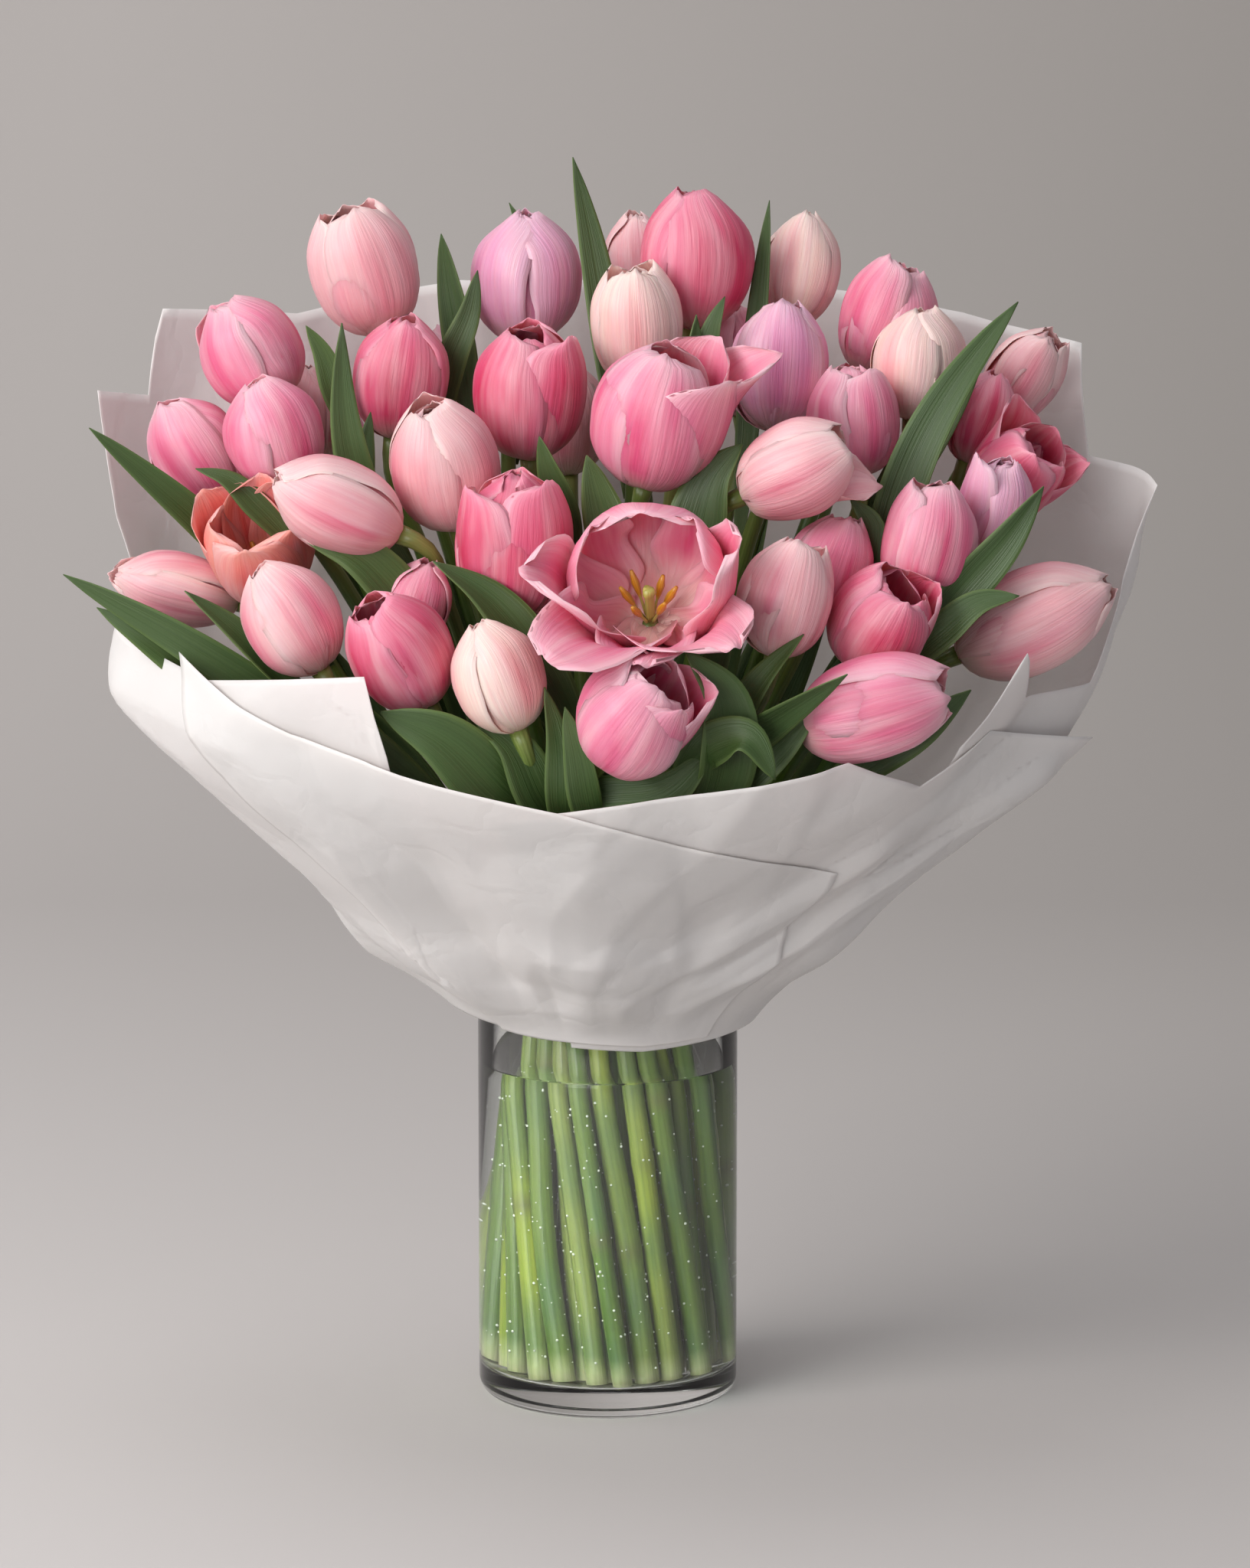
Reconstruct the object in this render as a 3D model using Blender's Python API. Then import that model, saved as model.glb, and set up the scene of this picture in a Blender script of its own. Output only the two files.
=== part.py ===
"""Tulips in a glass cylinder vase, wrapped in sheets of thin white paper.

The frame is in metres with +Z up. The origin is the centre of the vase's foot, the front of the
bunch faces -Y, and +X is to the right. Sizes below are in millimetres and angles in degrees.
"""
import math

import bmesh
import bpy
import numpy as np
from mathutils import Vector

MM = 0.001
TOUCH = 0.3                 # gap between pieces that rest on each other

# Vase
VASE_RADIUS = 60.0
VASE_HEIGHT = 200.0
VASE_WALL = 4.0
VASE_FLOOR = 14.0
VASE_CORNER = 10.0
VASE_LIP = 1.5              # height of the rim's bevels, which are 1 mm wide
VASE_INNER_CORNER = 4.0
VASE_SIDES = 32
WATER_LEVEL = 157.0

# Stems: straight from the foot to the neck of the bunch, then bent out to their blooms
STEM_SIDES = 6
FOOT_RADIUS = 4.2
NECK_RADIUS = 4.0
TOP_RADIUS = 3.5
NECK_HEIGHT = 205.0
NECK_SPACING = 12.0
NECK_LEAN = 0.35            # how much a stem turns towards its bloom right at the neck
FOOT_SPREAD = 1.15
BUNCH_TWIST = 40.0
FOOT_STRAY = 3.6
FOOT_SEED = 8
FOOT_REACH = 47.4           # farthest a stem may stand from the vase's middle
COLLAR = 10.0               # straight end of a stem, under its bloom
BEND_PULL = 0.42            # how stiffly a stem keeps its direction at both ends
BENDS = 7                   # points of a stem between its neck and its bloom
STEM_CLEARANCE = 1.0
BLOOM_SEAT = 1.5            # height of a bloom's lowest ring over the stem's end

# How the stems push each other aside: share of an overlap that is cleared in one round, the
# longest move in a round, the pull towards a straight line, and the number of rounds
SETTLE_PUSH = 0.6
SETTLE_LIMIT = 4.0
SETTLE_SMOOTHING = 0.06
SETTLE_ROUNDS = 260

# Tulips, from the top row down. Each row is the middle of the bloom (across, behind, up), its
# lean to the right and to the front, its length and width, its shape and its colour.
TULIPS = [
    (-111, 26, 522, -15, 5, 63, 51, "bud", "blush"),
    (-38, 45, 516, 0, 0, 62, 49, "bud", "lilac"),
    (40, 26, 526, 3, 0, 66, 50, "bud", "rose"),
    (89, 55, 519, 10, -10, 55, 35, "bud", "cream"),
    (13, -7, 500, 0, 5, 56, 42, "bud", "blush"),
    (128, 30, 499, 22, 1, 56, 44, "bud", "rose"),
    (141, -9, 482, 6, 0, 52, 42, "bud", "cream"),
    (78, -9, 481, 3, 0, 60, 44, "bud", "lilac"),
    (-162, -6, 487, -30, 1, 54, 45, "bud", "rose"),
    (-150, -45, 455, -17, 5, 53, 43, "bud", "rose"),
    (-186, -15, 443, -29, 6, 54, 42, "bud", "rose"),
    (-94, -6, 476, 7, 5, 58, 42, "bud", "magenta"),
    (-35, -35, 473, 0, 12, 64, 52, "bud", "magenta"),
    (24, -80, 467, 13, 15, 68, 62, "cup", "rose"),
    (-73, -75, 445, -12, 12, 63, 48, "bud", "blush"),
    (-119, -105, 430, -64, 11, 63, 41, "bud", "blush"),
    (111, -37, 460, -5, 0, 52, 43, "bud", "magenta"),
    (84, -97, 445, 62, 16, 56, 43, "bud", "blush"),
    (192, 31, 472, 34, 2, 49, 33, "bud", "blush"),
    (171, 3, 456, 20, -4, 45, 31, "bud", "magenta"),
    (184, -28, 434, 42, 23, 52, 44, "cup", "magenta"),
    (173, -64, 425, 15, 5, 48, 34, "bud", "lilac"),
    (143, -88, 413, 15, 5, 58, 42, "bud", "rose"),
    (191, -70, 374, 64, 6, 77, 45, "bud", "blush"),
    (79, -135, 394, 12, 5, 55, 41, "bud", "blush"),
    (98, -88, 399, 20, 1, 51, 38, "bud", "rose"),
    (18, -150, 402, -3, 40, 53, 78, "cup", "rose"),
    (-41, -110, 414, 2, 5, 69, 53, "bud", "magenta"),
    (121, -119, 380, 27, 26, 51, 47, "bud", "magenta"),
    (117, -153, 347, 74, 7, 71, 46, "bud", "rose"),
    (13, -185, 349, 34, 32, 56, 52, "cup", "rose"),
    (-47, -165, 363, -20, 1, 51, 38, "bud", "cream"),
    (-90, -150, 372, -26, 19, 57, 45, "bud", "magenta"),
    (-139, -130, 384, -29, 6, 55, 42, "bud", "blush"),
    (-155, -71, 406, -13, 35, 51, 53, "cup", "coral"),
    (-194, -54, 386, -76, 8, 60, 32, "bud", "blush"),
    (-136, 21, 456, -5, -5, 46, 33, "bud", "blush"),
    (-84, -104, 386, 15, -5, 41, 29, "bud", "rose"),
    (15, 75, 517, -3, -5, 53, 33, "bud", "blush"),
    (60, 50, 477, -5, 0, 53, 38, "bud", "rose"),
    # hidden behind the others
    (-80, 62, 463, -8, -10, 55, 42, "bud", "rose"),
    (-20, 40, 452, -4, 0, 55, 42, "bud", "blush"),
    (110, 55, 447, 14, -8, 55, 42, "bud", "rose"),
    (-134, 62, 440, -20, -10, 55, 42, "bud", "lilac"),
]

# A bloom's outline from its base to its tip: share of the length, share of the half width
BUD = [(0.0, 0.26), (0.09, 0.60), (0.26, 0.92), (0.48, 1.0), (0.74, 0.84), (0.92, 0.50), (1.0, 0.20)]
CUP = [(0.0, 0.20), (0.12, 0.52), (0.40, 0.84), (0.74, 0.97), (1.0, 1.0),
       (0.94, 0.86), (0.55, 0.50), (0.34, 0.20)]

# Long leaves: the tulip each grows on, how far up that stem, its points on the way (across,
# behind, up), and its width. The last point is the tip.
LEAVES = {
    "leaf_top": (4, 0.80, [(0, 34, 490), (-6, 36, 533), (-16, 36, 572)], 16),
    "leaf_top_left": (1, 0.80, [(-22, 82, 500), (-32, 88, 528), (-46, 92, 546)], 12),
    "leaf_top_right": (7, 0.75, [(67, 24, 488), (71, 27, 525), (74, 28, 553)], 12),
    "leaf_left": (15, 0.60, [(-122, -60, 440), (-123, -66, 470), (-118, -66, 507)], 16),
    "leaf_far_left": (10, 0.65, [(-176, -50, 414), (-205, -62, 437), (-231, -66, 460)], 13),
    "leaf_low_left": (33, 0.65, [(-150, -112, 346), (-198, -114, 380), (-240, -108, 400)], 14),
    "leaf_right": (22, 0.75, [(132, -60, 455), (158, -50, 485), (184, -44, 514)], 18),
    "leaf_front": (30, 0.60, [(66, -160, 340), (88, -178, 356), (104, -186, 368)], 13),
}
LEAF_THICKNESS = 1.4
LEAF_STATIONS = 9
LEAF_FOLD = 0.22            # rise of a leaf's edges, as a share of its half width
SHEATH_UP = 8.0             # a leaf's second point, along its stem and away from it
SHEATH_OUT = 2.0

# Wrapping paper: a cone that leaves the vase's rim and stands up round the bunch
CONE_UP = [174, 182, 200, 214, 225, 240, 271, 304, 337, 366, 420, 469, 520]
CONE_OUT = [60.6, 60.6, 84, 103, 115, 128, 162, 195, 213, 218, 226, 233, 238]
CONE_FRONT = 0.91           # the cone's reach to the front and to the back, as shares of the sides'
CONE_BACK = 0.40
PAPER = 0.7
LAYER = 2.0                 # from one layer of paper to the next
PAPER_STEP = 6.0            # degrees between the columns of a sheet
PAPER_HEM = 3.0             # least height of a row of facets below the upper edge

# Sheets: layer, height of the lower edge, and the upper edge as columns of (angle at the foot,
# angle at the top, height, push outward). Angle 0 is the front, and it grows to the right.
SHEETS = {
    "paper_back_left": (0, 182, [
        (-98, -92, 468, 0), (-106, -103, 461, 0), (-109, -106, 500, 2), (-123, -123, 494, 0),
        (-150, -150, 507, 0), (-200, -200, 504, 0)]),
    "paper_back_right": (1, 182, [
        (52, 50, 326, 0), (60, 58, 366, 4), (64, 64, 342, 0), (78, 78, 342, 0),
        (85, 85, 386, 5), (89, 89, 426, 20), (100, 100, 434, 4), (103, 103, 485, 8),
        (116, 116, 496, 0), (150, 150, 507, 0), (185, 185, 505, 0)]),
    "paper_left": (1, 180, [
        (-30, -28, 330, 0), (-33, -30, 366, 0), (-54, -54, 356, 0), (-81, -81, 376, 0),
        (-104, -104, 345, 0)]),
    "paper_right": (2, 175, [
        (-14, -14, 305, 0), (12, 12, 317, 0), (31, 31, 327, 0), (36, 36, 320, 0), (45, 45, 310, 0),
        (56, 56, 331, 0), (82, 82, 314, 12), (92, 92, 262, 0)]),
    "paper_front": (3, 178, [
        (-40, -58, 367, 0), (-34, -41, 337, 0), (-24, -26, 323, 0), (-6, -6, 309, 0),
        (10, 10, 291, 0), (23, 23, 280, 0), (40, 40, 268, 0)]),
}

# Colours, roughness and metallic value of each material
COLORS = {
    "blush": (0.86, 0.47, 0.47), "lilac": (0.78, 0.40, 0.53), "rose": (0.79, 0.22, 0.33),
    "cream": (0.86, 0.62, 0.52), "magenta": (0.66, 0.09, 0.20), "coral": (0.80, 0.26, 0.22),
    "leaf": (0.05, 0.09, 0.02), "paper": (0.80, 0.77, 0.75), "glass": (0.90, 0.93, 0.93),
    "water": (0.80, 0.88, 0.88),
}
ROUGHNESS = {"glass": 0.03, "water": 0.02, "paper": 0.75, "leaf": 0.45}


def clear_scene():
    for item in list(bpy.data.objects):
        bpy.data.objects.remove(item, do_unlink=True)


def material(name, color):
    made = bpy.data.materials.new(name)
    made.use_nodes = True
    shader = made.node_tree.nodes["Principled BSDF"]
    shader.inputs["Base Color"].default_value = (*COLORS[color], 1.0)
    shader.inputs["Roughness"].default_value = ROUGHNESS.get(color, 0.5)
    shader.inputs["Metallic"].default_value = 0.0
    made.diffuse_color = (*COLORS[color], 1.0)
    return made


def add_object(name, points, faces, made_of):
    """Makes an object from points in millimetres and its faces."""
    mesh = bpy.data.meshes.new(name)
    mesh.from_pydata([Vector(point) * MM for point in points], [], faces)
    mesh.validate()
    mesh.materials.append(made_of)
    mesh.shade_smooth()
    mesh.set_sharp_from_angle(angle=math.radians(50))
    item = bpy.data.objects.new(name, mesh)
    bpy.context.scene.collection.objects.link(item)
    return item


def loft(name, rings, made_of):
    """Closes a skin over a row of rings that all have the same number of points."""
    sides = len(rings[0])
    faces = [list(reversed(range(sides)))]
    for start in range(0, sides * (len(rings) - 1), sides):
        for k in range(sides):
            after = (k + 1) % sides
            faces.append([start + k, start + after, start + sides + after, start + sides + k])
    last = sides * (len(rings) - 1)
    faces.append([last + k for k in range(sides)])
    return add_object(name, [point for ring in rings for point in ring], faces, made_of)


def unit(vector):
    return vector / np.linalg.norm(vector, axis=-1, keepdims=True)


def bloom_axis(lean_right, lean_front):
    right, front = math.radians(lean_right), math.radians(lean_front)
    return np.array([math.sin(right) * math.cos(front), -math.sin(front), math.cos(right) * math.cos(front)])


def cone_radius(angle, height):
    """Radius of the paper cone at an angle from the front, in degrees, and a height."""
    turn = np.radians(angle)
    reach = np.where(np.cos(turn) > 0, CONE_FRONT, CONE_BACK)
    share = 1 / np.sqrt(np.sin(turn) ** 2 + (np.cos(turn) / reach) ** 2)
    return CONE_OUT[0] + (np.interp(height, CONE_UP, CONE_OUT) - CONE_OUT[0]) * share


class Tulip:
    """One tulip: its bloom's place and shape, and later the line that its stem follows."""

    def __init__(self, number, row):
        across, behind, up, lean_right, lean_front, length, width, shape, color = row
        self.name = f"tulip_{number:02d}"
        self.axis = bloom_axis(lean_right, lean_front)
        self.length, self.radius, self.color = length, width / 2, color
        self.outline = CUP if shape == "cup" else BUD
        self.base = np.array([across, behind, up]) - self.axis * length / 2

    def balls(self):
        """Round stand-ins for the bloom, which keep the stems away from it."""
        return [(self.base + self.axis * self.length * share, self.radius * reach)
                for share, reach in ((0.16, 0.66), (0.36, 0.96), (0.60, 0.96), (0.84, 0.66))]


def neck_slots(count):
    """Places of the stems where the bunch is tied: a honeycomb, from the middle out."""
    reach = int(math.sqrt(count)) + 2
    slots = [np.array([column + 0.5 * (row % 2), row * math.sqrt(0.75)]) * NECK_SPACING
             for row in range(-reach, reach + 1) for column in range(-reach, reach + 1)]
    offset = np.array([0.25, 0.29]) * NECK_SPACING
    return np.array(sorted(slots, key=lambda slot: np.linalg.norm(slot - offset))[:count]) - offset


def give_slots(tulips):
    """Gives each tulip a slot on its own side of the neck, so that the stems don't cross."""
    slots = neck_slots(len(tulips))
    reach = np.array([tulip.base[:2] / (tulip.base[2] - 0.75 * NECK_HEIGHT) for tulip in tulips])
    order = list(range(len(tulips)))
    swapped = True
    while swapped:
        swapped = False
        for i in range(len(order)):
            for j in range(i + 1, len(order)):
                if (slots[order[i]] - slots[order[j]]) @ (reach[i] - reach[j]) < -1e-9:
                    order[i], order[j] = order[j], order[i]
                    swapped = True
    return slots[order]


def bend(start, heading, end, arrival, count):
    """Points on a smooth line that leaves along heading and arrives along arrival."""
    pull = BEND_PULL * np.linalg.norm(end - start)
    steps = np.linspace(0, 1, count)[:, None]
    return ((1 - steps) ** 3 * start + 3 * (1 - steps) ** 2 * steps * (start + heading * pull)
            + 3 * (1 - steps) * steps ** 2 * (end - arrival * pull) + steps ** 3 * end)


def closest(a, b, c, d):
    """Shares along segments ab and cd, row by row, where the two come closest."""
    one, two, gap = b - a, d - c, a - c
    aa, bb, ab = (one * one).sum(1), (two * two).sum(1), (one * two).sum(1)
    ga, gb = (one * gap).sum(1), (two * gap).sum(1)
    first = np.clip((ab * gb - ga * bb) / np.maximum(aa * bb - ab * ab, 1e-9), 0, 1)
    second = np.clip((ab * first + gb) / bb, 0, 1)
    first = np.clip((ab * second - ga) / aa, 0, 1)
    return first, second


def settle(lines, free, radius, balls):
    """Lets lines push each other aside until they clear each other, the blooms and the paper.

    lines is an array of lines by points by 3, free tells which points may move, and radius is
    each line's own. balls is a list of (owner, centre, radius), which push every line but their
    owner's.
    """
    count, points = lines.shape[:2]
    owner = np.repeat(np.arange(count), points - 1)
    head = (np.arange(count)[:, None] * points + np.arange(points - 1)).ravel()
    one, two = np.triu_indices(len(owner), 1)
    apart = owner[one] != owner[two]
    one, two = one[apart], two[apart]
    need = radius[owner[one]] + radius[owner[two]] + STEM_CLEARANCE
    ball_owner = np.array([ball[0] for ball in balls])
    ball_at = np.array([ball[1] for ball in balls])
    ball_radius = np.array([ball[2] for ball in balls])
    ball_k, line_k = np.nonzero(ball_owner[:, None] != owner[None])
    ball_need = ball_radius[ball_k] + radius[owner[line_k]] + STEM_CLEARANCE
    loose = free.reshape(-1, 1)
    flat = lines.reshape(-1, 3)
    for _ in range(SETTLE_ROUNDS):
        push = np.zeros_like(flat)
        a, b, c, d = flat[head[one]], flat[head[one] + 1], flat[head[two]], flat[head[two] + 1]
        first, second = closest(a, b, c, d)
        between = a + (b - a) * first[:, None] - c - (d - c) * second[:, None]
        short = np.maximum(need - np.linalg.norm(between, axis=1), 0)
        hit = short > 0
        shove = 0.5 * unit(between[hit] + 1e-9) * short[hit, None]
        for at, share, sign in ((one, first, 1), (two, second, -1)):
            start, part = head[at[hit]], share[hit, None]
            np.add.at(push, start, sign * shove * (1 - part))
            np.add.at(push, start + 1, sign * shove * part)
        start = head[line_k]
        run = flat[start + 1] - flat[start]
        away = flat[start] - ball_at[ball_k]
        part = np.clip(-(run * away).sum(1) / (run * run).sum(1), 0, 1)[:, None]
        away = away + run * part
        short = np.maximum(ball_need - np.linalg.norm(away, axis=1), 0)
        hit = short > 0
        shove = unit(away[hit] + 1e-9) * short[hit, None]
        np.add.at(push, start[hit], shove * (1 - part[hit]))
        np.add.at(push, start[hit] + 1, shove * part[hit])
        flat = flat + loose * np.clip(SETTLE_PUSH * push, -SETTLE_LIMIT, SETTLE_LIMIT)
        shaped = flat.reshape(count, points, 3)
        smooth = shaped.copy()
        smooth[:, 1:-1] += SETTLE_SMOOTHING * (shaped[:, :-2] + shaped[:, 2:] - 2 * shaped[:, 1:-1])
        flat = np.where(loose, smooth.reshape(-1, 3), flat)
        angle = np.degrees(np.arctan2(flat[:, 0], -flat[:, 1]))
        limit = cone_radius(angle, flat[:, 2]) - np.repeat(radius, points) - 2 * STEM_CLEARANCE
        wide = np.hypot(flat[:, 0], flat[:, 1])
        inward = np.minimum(limit / np.maximum(wide, 1e-6), 1)[:, None]
        inward = np.where(flat[:, 2:] > NECK_HEIGHT, inward, 1)
        flat[:, :2] = np.where(loose, flat[:, :2] * inward, flat[:, :2])
    return flat.reshape(count, points, 3)


def feet(slots):
    """Where the stems stand on the vase's floor: the neck's pattern, spread and twisted."""
    turn = math.radians(BUNCH_TWIST)
    spin = np.array([[math.cos(turn), math.sin(turn)], [-math.sin(turn), math.cos(turn)]])
    stray = np.random.default_rng(FOOT_SEED).uniform(-FOOT_STRAY, FOOT_STRAY, slots.shape)
    spots = slots @ spin * FOOT_SPREAD + stray
    return spots * np.minimum(1, FOOT_REACH / np.linalg.norm(spots, axis=1))[:, None]


def grow_stems(tulips):
    slots = give_slots(tulips)
    lines = []
    for tulip, slot, foot in zip(tulips, slots, feet(slots)):
        tulip.foot = np.array([*foot, VASE_FLOOR + TOUCH])
        neck = np.array([*slot, NECK_HEIGHT])
        collar = tulip.base - tulip.axis * COLLAR
        heading = unit(np.array([0, 0, 1.0]) + NECK_LEAN * unit(collar - neck))
        lines.append(np.vstack([bend(neck, heading, collar, tulip.axis, BENDS), tulip.base]))
    lines = np.array(lines)
    free = np.ones(lines.shape[:2], bool)
    free[:, [0, -2, -1]] = False
    balls = [(k, *ball) for k, tulip in enumerate(tulips) for ball in tulip.balls()]
    lines = settle(lines, free, np.full(len(tulips), NECK_RADIUS), balls)
    for tulip, line in zip(tulips, lines):
        tulip.line = np.vstack([tulip.foot, line])


def carried_frames(points):
    """A forward, side and up direction at each point, turned as little as possible."""
    forward = np.zeros_like(points)
    forward[1:-1] = unit(unit(points[1:-1] - points[:-2]) + unit(points[2:] - points[1:-1]))
    forward[0], forward[-1] = unit(points[1] - points[0]), unit(points[-1] - points[-2])
    side = unit(np.cross([0.0, 1.0, 0.2], forward[0]))
    sides = []
    for ahead in forward:
        side = unit(side - ahead * (side @ ahead))
        sides.append(side)
    sides = np.array(sides)
    return forward, sides, np.cross(forward, sides)


def tulip_rings(tulip):
    """Rings from the cut end of the stem to the tip of the bloom."""
    stem_radii = [FOOT_RADIUS, NECK_RADIUS] + [
        NECK_RADIUS + (TOP_RADIUS - NECK_RADIUS) * k / BENDS for k in range(1, BENDS + 1)]
    forward, side, over = carried_frames(tulip.line)
    forward[0] = over[0] = (0, 0, 1)
    side[0] = unit(side[0] * (1, 1, 0))
    over[0] = np.cross((0, 0, 1), side[0])
    turns = np.radians(np.arange(STEM_SIDES) * 360 / STEM_SIDES)[:, None]
    rings = [point + radius * (np.cos(turns) * s + np.sin(turns) * o)
             for point, radius, s, o in zip(tulip.line, stem_radii, side, over)]
    for share, reach in tulip.outline:
        point = tulip.base + tulip.axis * (BLOOM_SEAT + share * (tulip.length - BLOOM_SEAT))
        rings.append(point + reach * tulip.radius * (np.cos(turns) * side[-1] + np.sin(turns) * over[-1]))
    return rings


def along(points, share):
    """The point at a share of a line's length."""
    runs = np.linalg.norm(np.diff(points, axis=0), axis=1)
    at = np.concatenate([[0], np.cumsum(runs)]) / runs.sum()
    return np.array([np.interp(share, at, points[:, k]) for k in range(3)])


def leaf_lines(tulips):
    """Each long leaf's line, from beside its stem to its tip, clear of stems and blooms."""
    lines = []
    for host, share, way, _ in LEAVES.values():
        stem = tulips[host].line[1:]
        root = along(stem, share)
        ahead = unit(along(stem, share + 0.03) - root)
        out = np.array(way[0]) - root
        out = unit(out - ahead * (out @ ahead))
        root = root + out * (NECK_RADIUS + 2 * TOUCH)
        route = np.vstack([root, root + ahead * SHEATH_UP + out * SHEATH_OUT, way])
        lines.append(np.array([along(route, k) for k in np.linspace(0, 1, LEAF_STATIONS)]))
    lines = np.array(lines)
    for _ in range(6):
        lines[:, 2:-1] += 0.25 * (lines[:, 1:-2] + lines[:, 3:] - 2 * lines[:, 2:-1])
    return lines


def leaf_rings(line, width):
    """Thin rings along a leaf: two edges, and a keel a little behind the blade's middle."""
    face = np.array([0.1, -0.9, 0.35])
    rings = []
    for k, (point, ahead) in enumerate(zip(line, carried_frames(line)[0])):
        share = k / (len(line) - 1)
        half = width / 2 * max(math.sin(math.pi * min(share, 1) ** 0.9) ** 0.7, 0.12)
        front = unit(face - ahead * (face @ ahead))
        across = np.cross(front, ahead)
        thick = LEAF_THICKNESS / 2
        fold = LEAF_FOLD * half
        rings.append([point + across * half + front * fold, point + front * thick,
                      point - across * half + front * fold, point - front * thick])
    return rings


def build_sheet(name, layer, foot, edge, made_of):
    """One sheet of paper: columns stand from the lower edge to the upper one."""
    edge = sorted(edge, key=lambda column: column[1])
    low, top, height, push = (np.array([column[k] for column in edge], float) for k in range(4))
    marks = []
    for start, end in zip(top[:-1], top[1:]):
        steps = max(1, round((end - start) / PAPER_STEP))
        marks += [start + (end - start) * k / steps for k in range(steps)]
    marks.append(top[-1])
    levels = [foot] + [level for level in CONE_UP if foot + PAPER_HEM < level < height.max()] + [height.max()]
    rows = len(levels)
    points = []
    for mark in marks:
        at_foot, reach, out = (np.interp(mark, top, values) for values in (low, height, push))
        for row, level in enumerate(levels):
            up = min(level, reach - PAPER_HEM * (rows - 1 - row))
            share = (up - foot) / (reach - foot)
            angle = at_foot + (mark - at_foot) * share
            radius = cone_radius(angle, up) + layer * LAYER + out * share ** 4
            turn = math.radians(angle)
            points.append((radius * math.sin(turn), -radius * math.cos(turn), up))
    faces = []
    for column in range(len(marks) - 1):
        for row in range(rows - 1):
            corner = column * rows + row
            faces.append([corner, corner + rows, corner + rows + 1, corner + 1])
    item = add_object(name, points, faces, made_of)
    skin = item.modifiers.new("paper", "SOLIDIFY")
    skin.thickness = PAPER * MM
    skin.offset = 1.0
    return item


def turned(name, outline, made_of):
    """Turns an outline of (radius, height) pairs round Z; it starts and ends on the axis."""
    rings = bmesh.new()
    corners = [rings.verts.new((radius * MM, 0, height * MM)) for radius, height in outline]
    edges = [rings.edges.new(pair) for pair in zip(corners[:-1], corners[1:])]
    bmesh.ops.spin(rings, geom=corners + edges, axis=(0, 0, 1), cent=(0, 0, 0), angle=math.tau,
                   steps=VASE_SIDES, use_merge=True)
    bmesh.ops.remove_doubles(rings, verts=rings.verts, dist=1e-6)
    bmesh.ops.recalc_face_normals(rings, faces=rings.faces)
    mesh = bpy.data.meshes.new(name)
    rings.to_mesh(mesh)
    rings.free()
    mesh.materials.append(made_of)
    mesh.shade_smooth()
    mesh.set_sharp_from_angle(angle=math.radians(35))
    item = bpy.data.objects.new(name, mesh)
    bpy.context.scene.collection.objects.link(item)
    return item


def build_vase():
    inside = VASE_RADIUS - VASE_WALL
    outline = [(0, 0), (VASE_RADIUS - VASE_CORNER, 0)]
    for k in range(1, 4):
        turn = math.radians(30 * k)
        outline.append((VASE_RADIUS - VASE_CORNER * (1 - math.sin(turn)), VASE_CORNER * (1 - math.cos(turn))))
    outline += [(VASE_RADIUS, VASE_HEIGHT - VASE_LIP), (VASE_RADIUS - 1, VASE_HEIGHT), (inside + 1, VASE_HEIGHT),
                (inside, VASE_HEIGHT - VASE_LIP), (inside, VASE_FLOOR + VASE_INNER_CORNER),
                (inside - VASE_INNER_CORNER, VASE_FLOOR), (0, VASE_FLOOR)]
    return turned("vase", outline, material("vase_glass", "glass"))


def build_water(tulips):
    """Water up to its level, cut round every stem."""
    inside = VASE_RADIUS - VASE_WALL - TOUCH
    low = VASE_FLOOR + TOUCH
    outline = [(0, low), (inside - VASE_INNER_CORNER, low), (inside, low + VASE_INNER_CORNER),
               (inside, WATER_LEVEL), (0, WATER_LEVEL)]
    water = turned("water", outline, material("water", "water"))
    bores = bpy.data.collections.new("stem_bores")
    bpy.context.scene.collection.children.link(bores)
    turns = np.radians(np.arange(STEM_SIDES) * 360 / STEM_SIDES)[:, None]
    for tulip in tulips:
        side = unit(carried_frames(tulip.line)[1][0] * (1, 1, 0))
        over = np.cross((0, 0, 1), side)
        foot, neck = tulip.line[:2]
        run = (neck - foot) / (neck[2] - foot[2])
        radius = FOOT_RADIUS + 2 * TOUCH
        rings = [foot + run * reach + radius * (np.cos(turns) * side + np.sin(turns) * over)
                 for reach in (-5.0, WATER_LEVEL - foot[2] + 5.0)]
        bore = loft(f"{tulip.name}_bore", rings, water.data.materials[0])
        bpy.context.scene.collection.objects.unlink(bore)
        bores.objects.link(bore)
        bore.hide_render = True
        bore.display_type = "WIRE"
    cut = water.modifiers.new("stems", "BOOLEAN")
    cut.operation = "DIFFERENCE"
    cut.operand_type = "COLLECTION"
    cut.collection = bores
    cut.solver = "EXACT"
    return water


def main():
    clear_scene()
    tulips = [Tulip(number, row) for number, row in enumerate(TULIPS, start=1)]
    grow_stems(tulips)
    build_vase()
    build_water(tulips)
    for tulip in tulips:
        loft(tulip.name, tulip_rings(tulip), material(tulip.name, tulip.color))
    for name, line in zip(LEAVES, leaf_lines(tulips)):
        loft(name, leaf_rings(line, LEAVES[name][3]), material(name, "leaf"))
    for name, (layer, foot, edge) in SHEETS.items():
        build_sheet(name, layer, foot, edge, material(name, "paper"))


main()
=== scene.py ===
"""The looks of a wrapped bunch of tulips in a glass cylinder vase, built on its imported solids."""
import math

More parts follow.
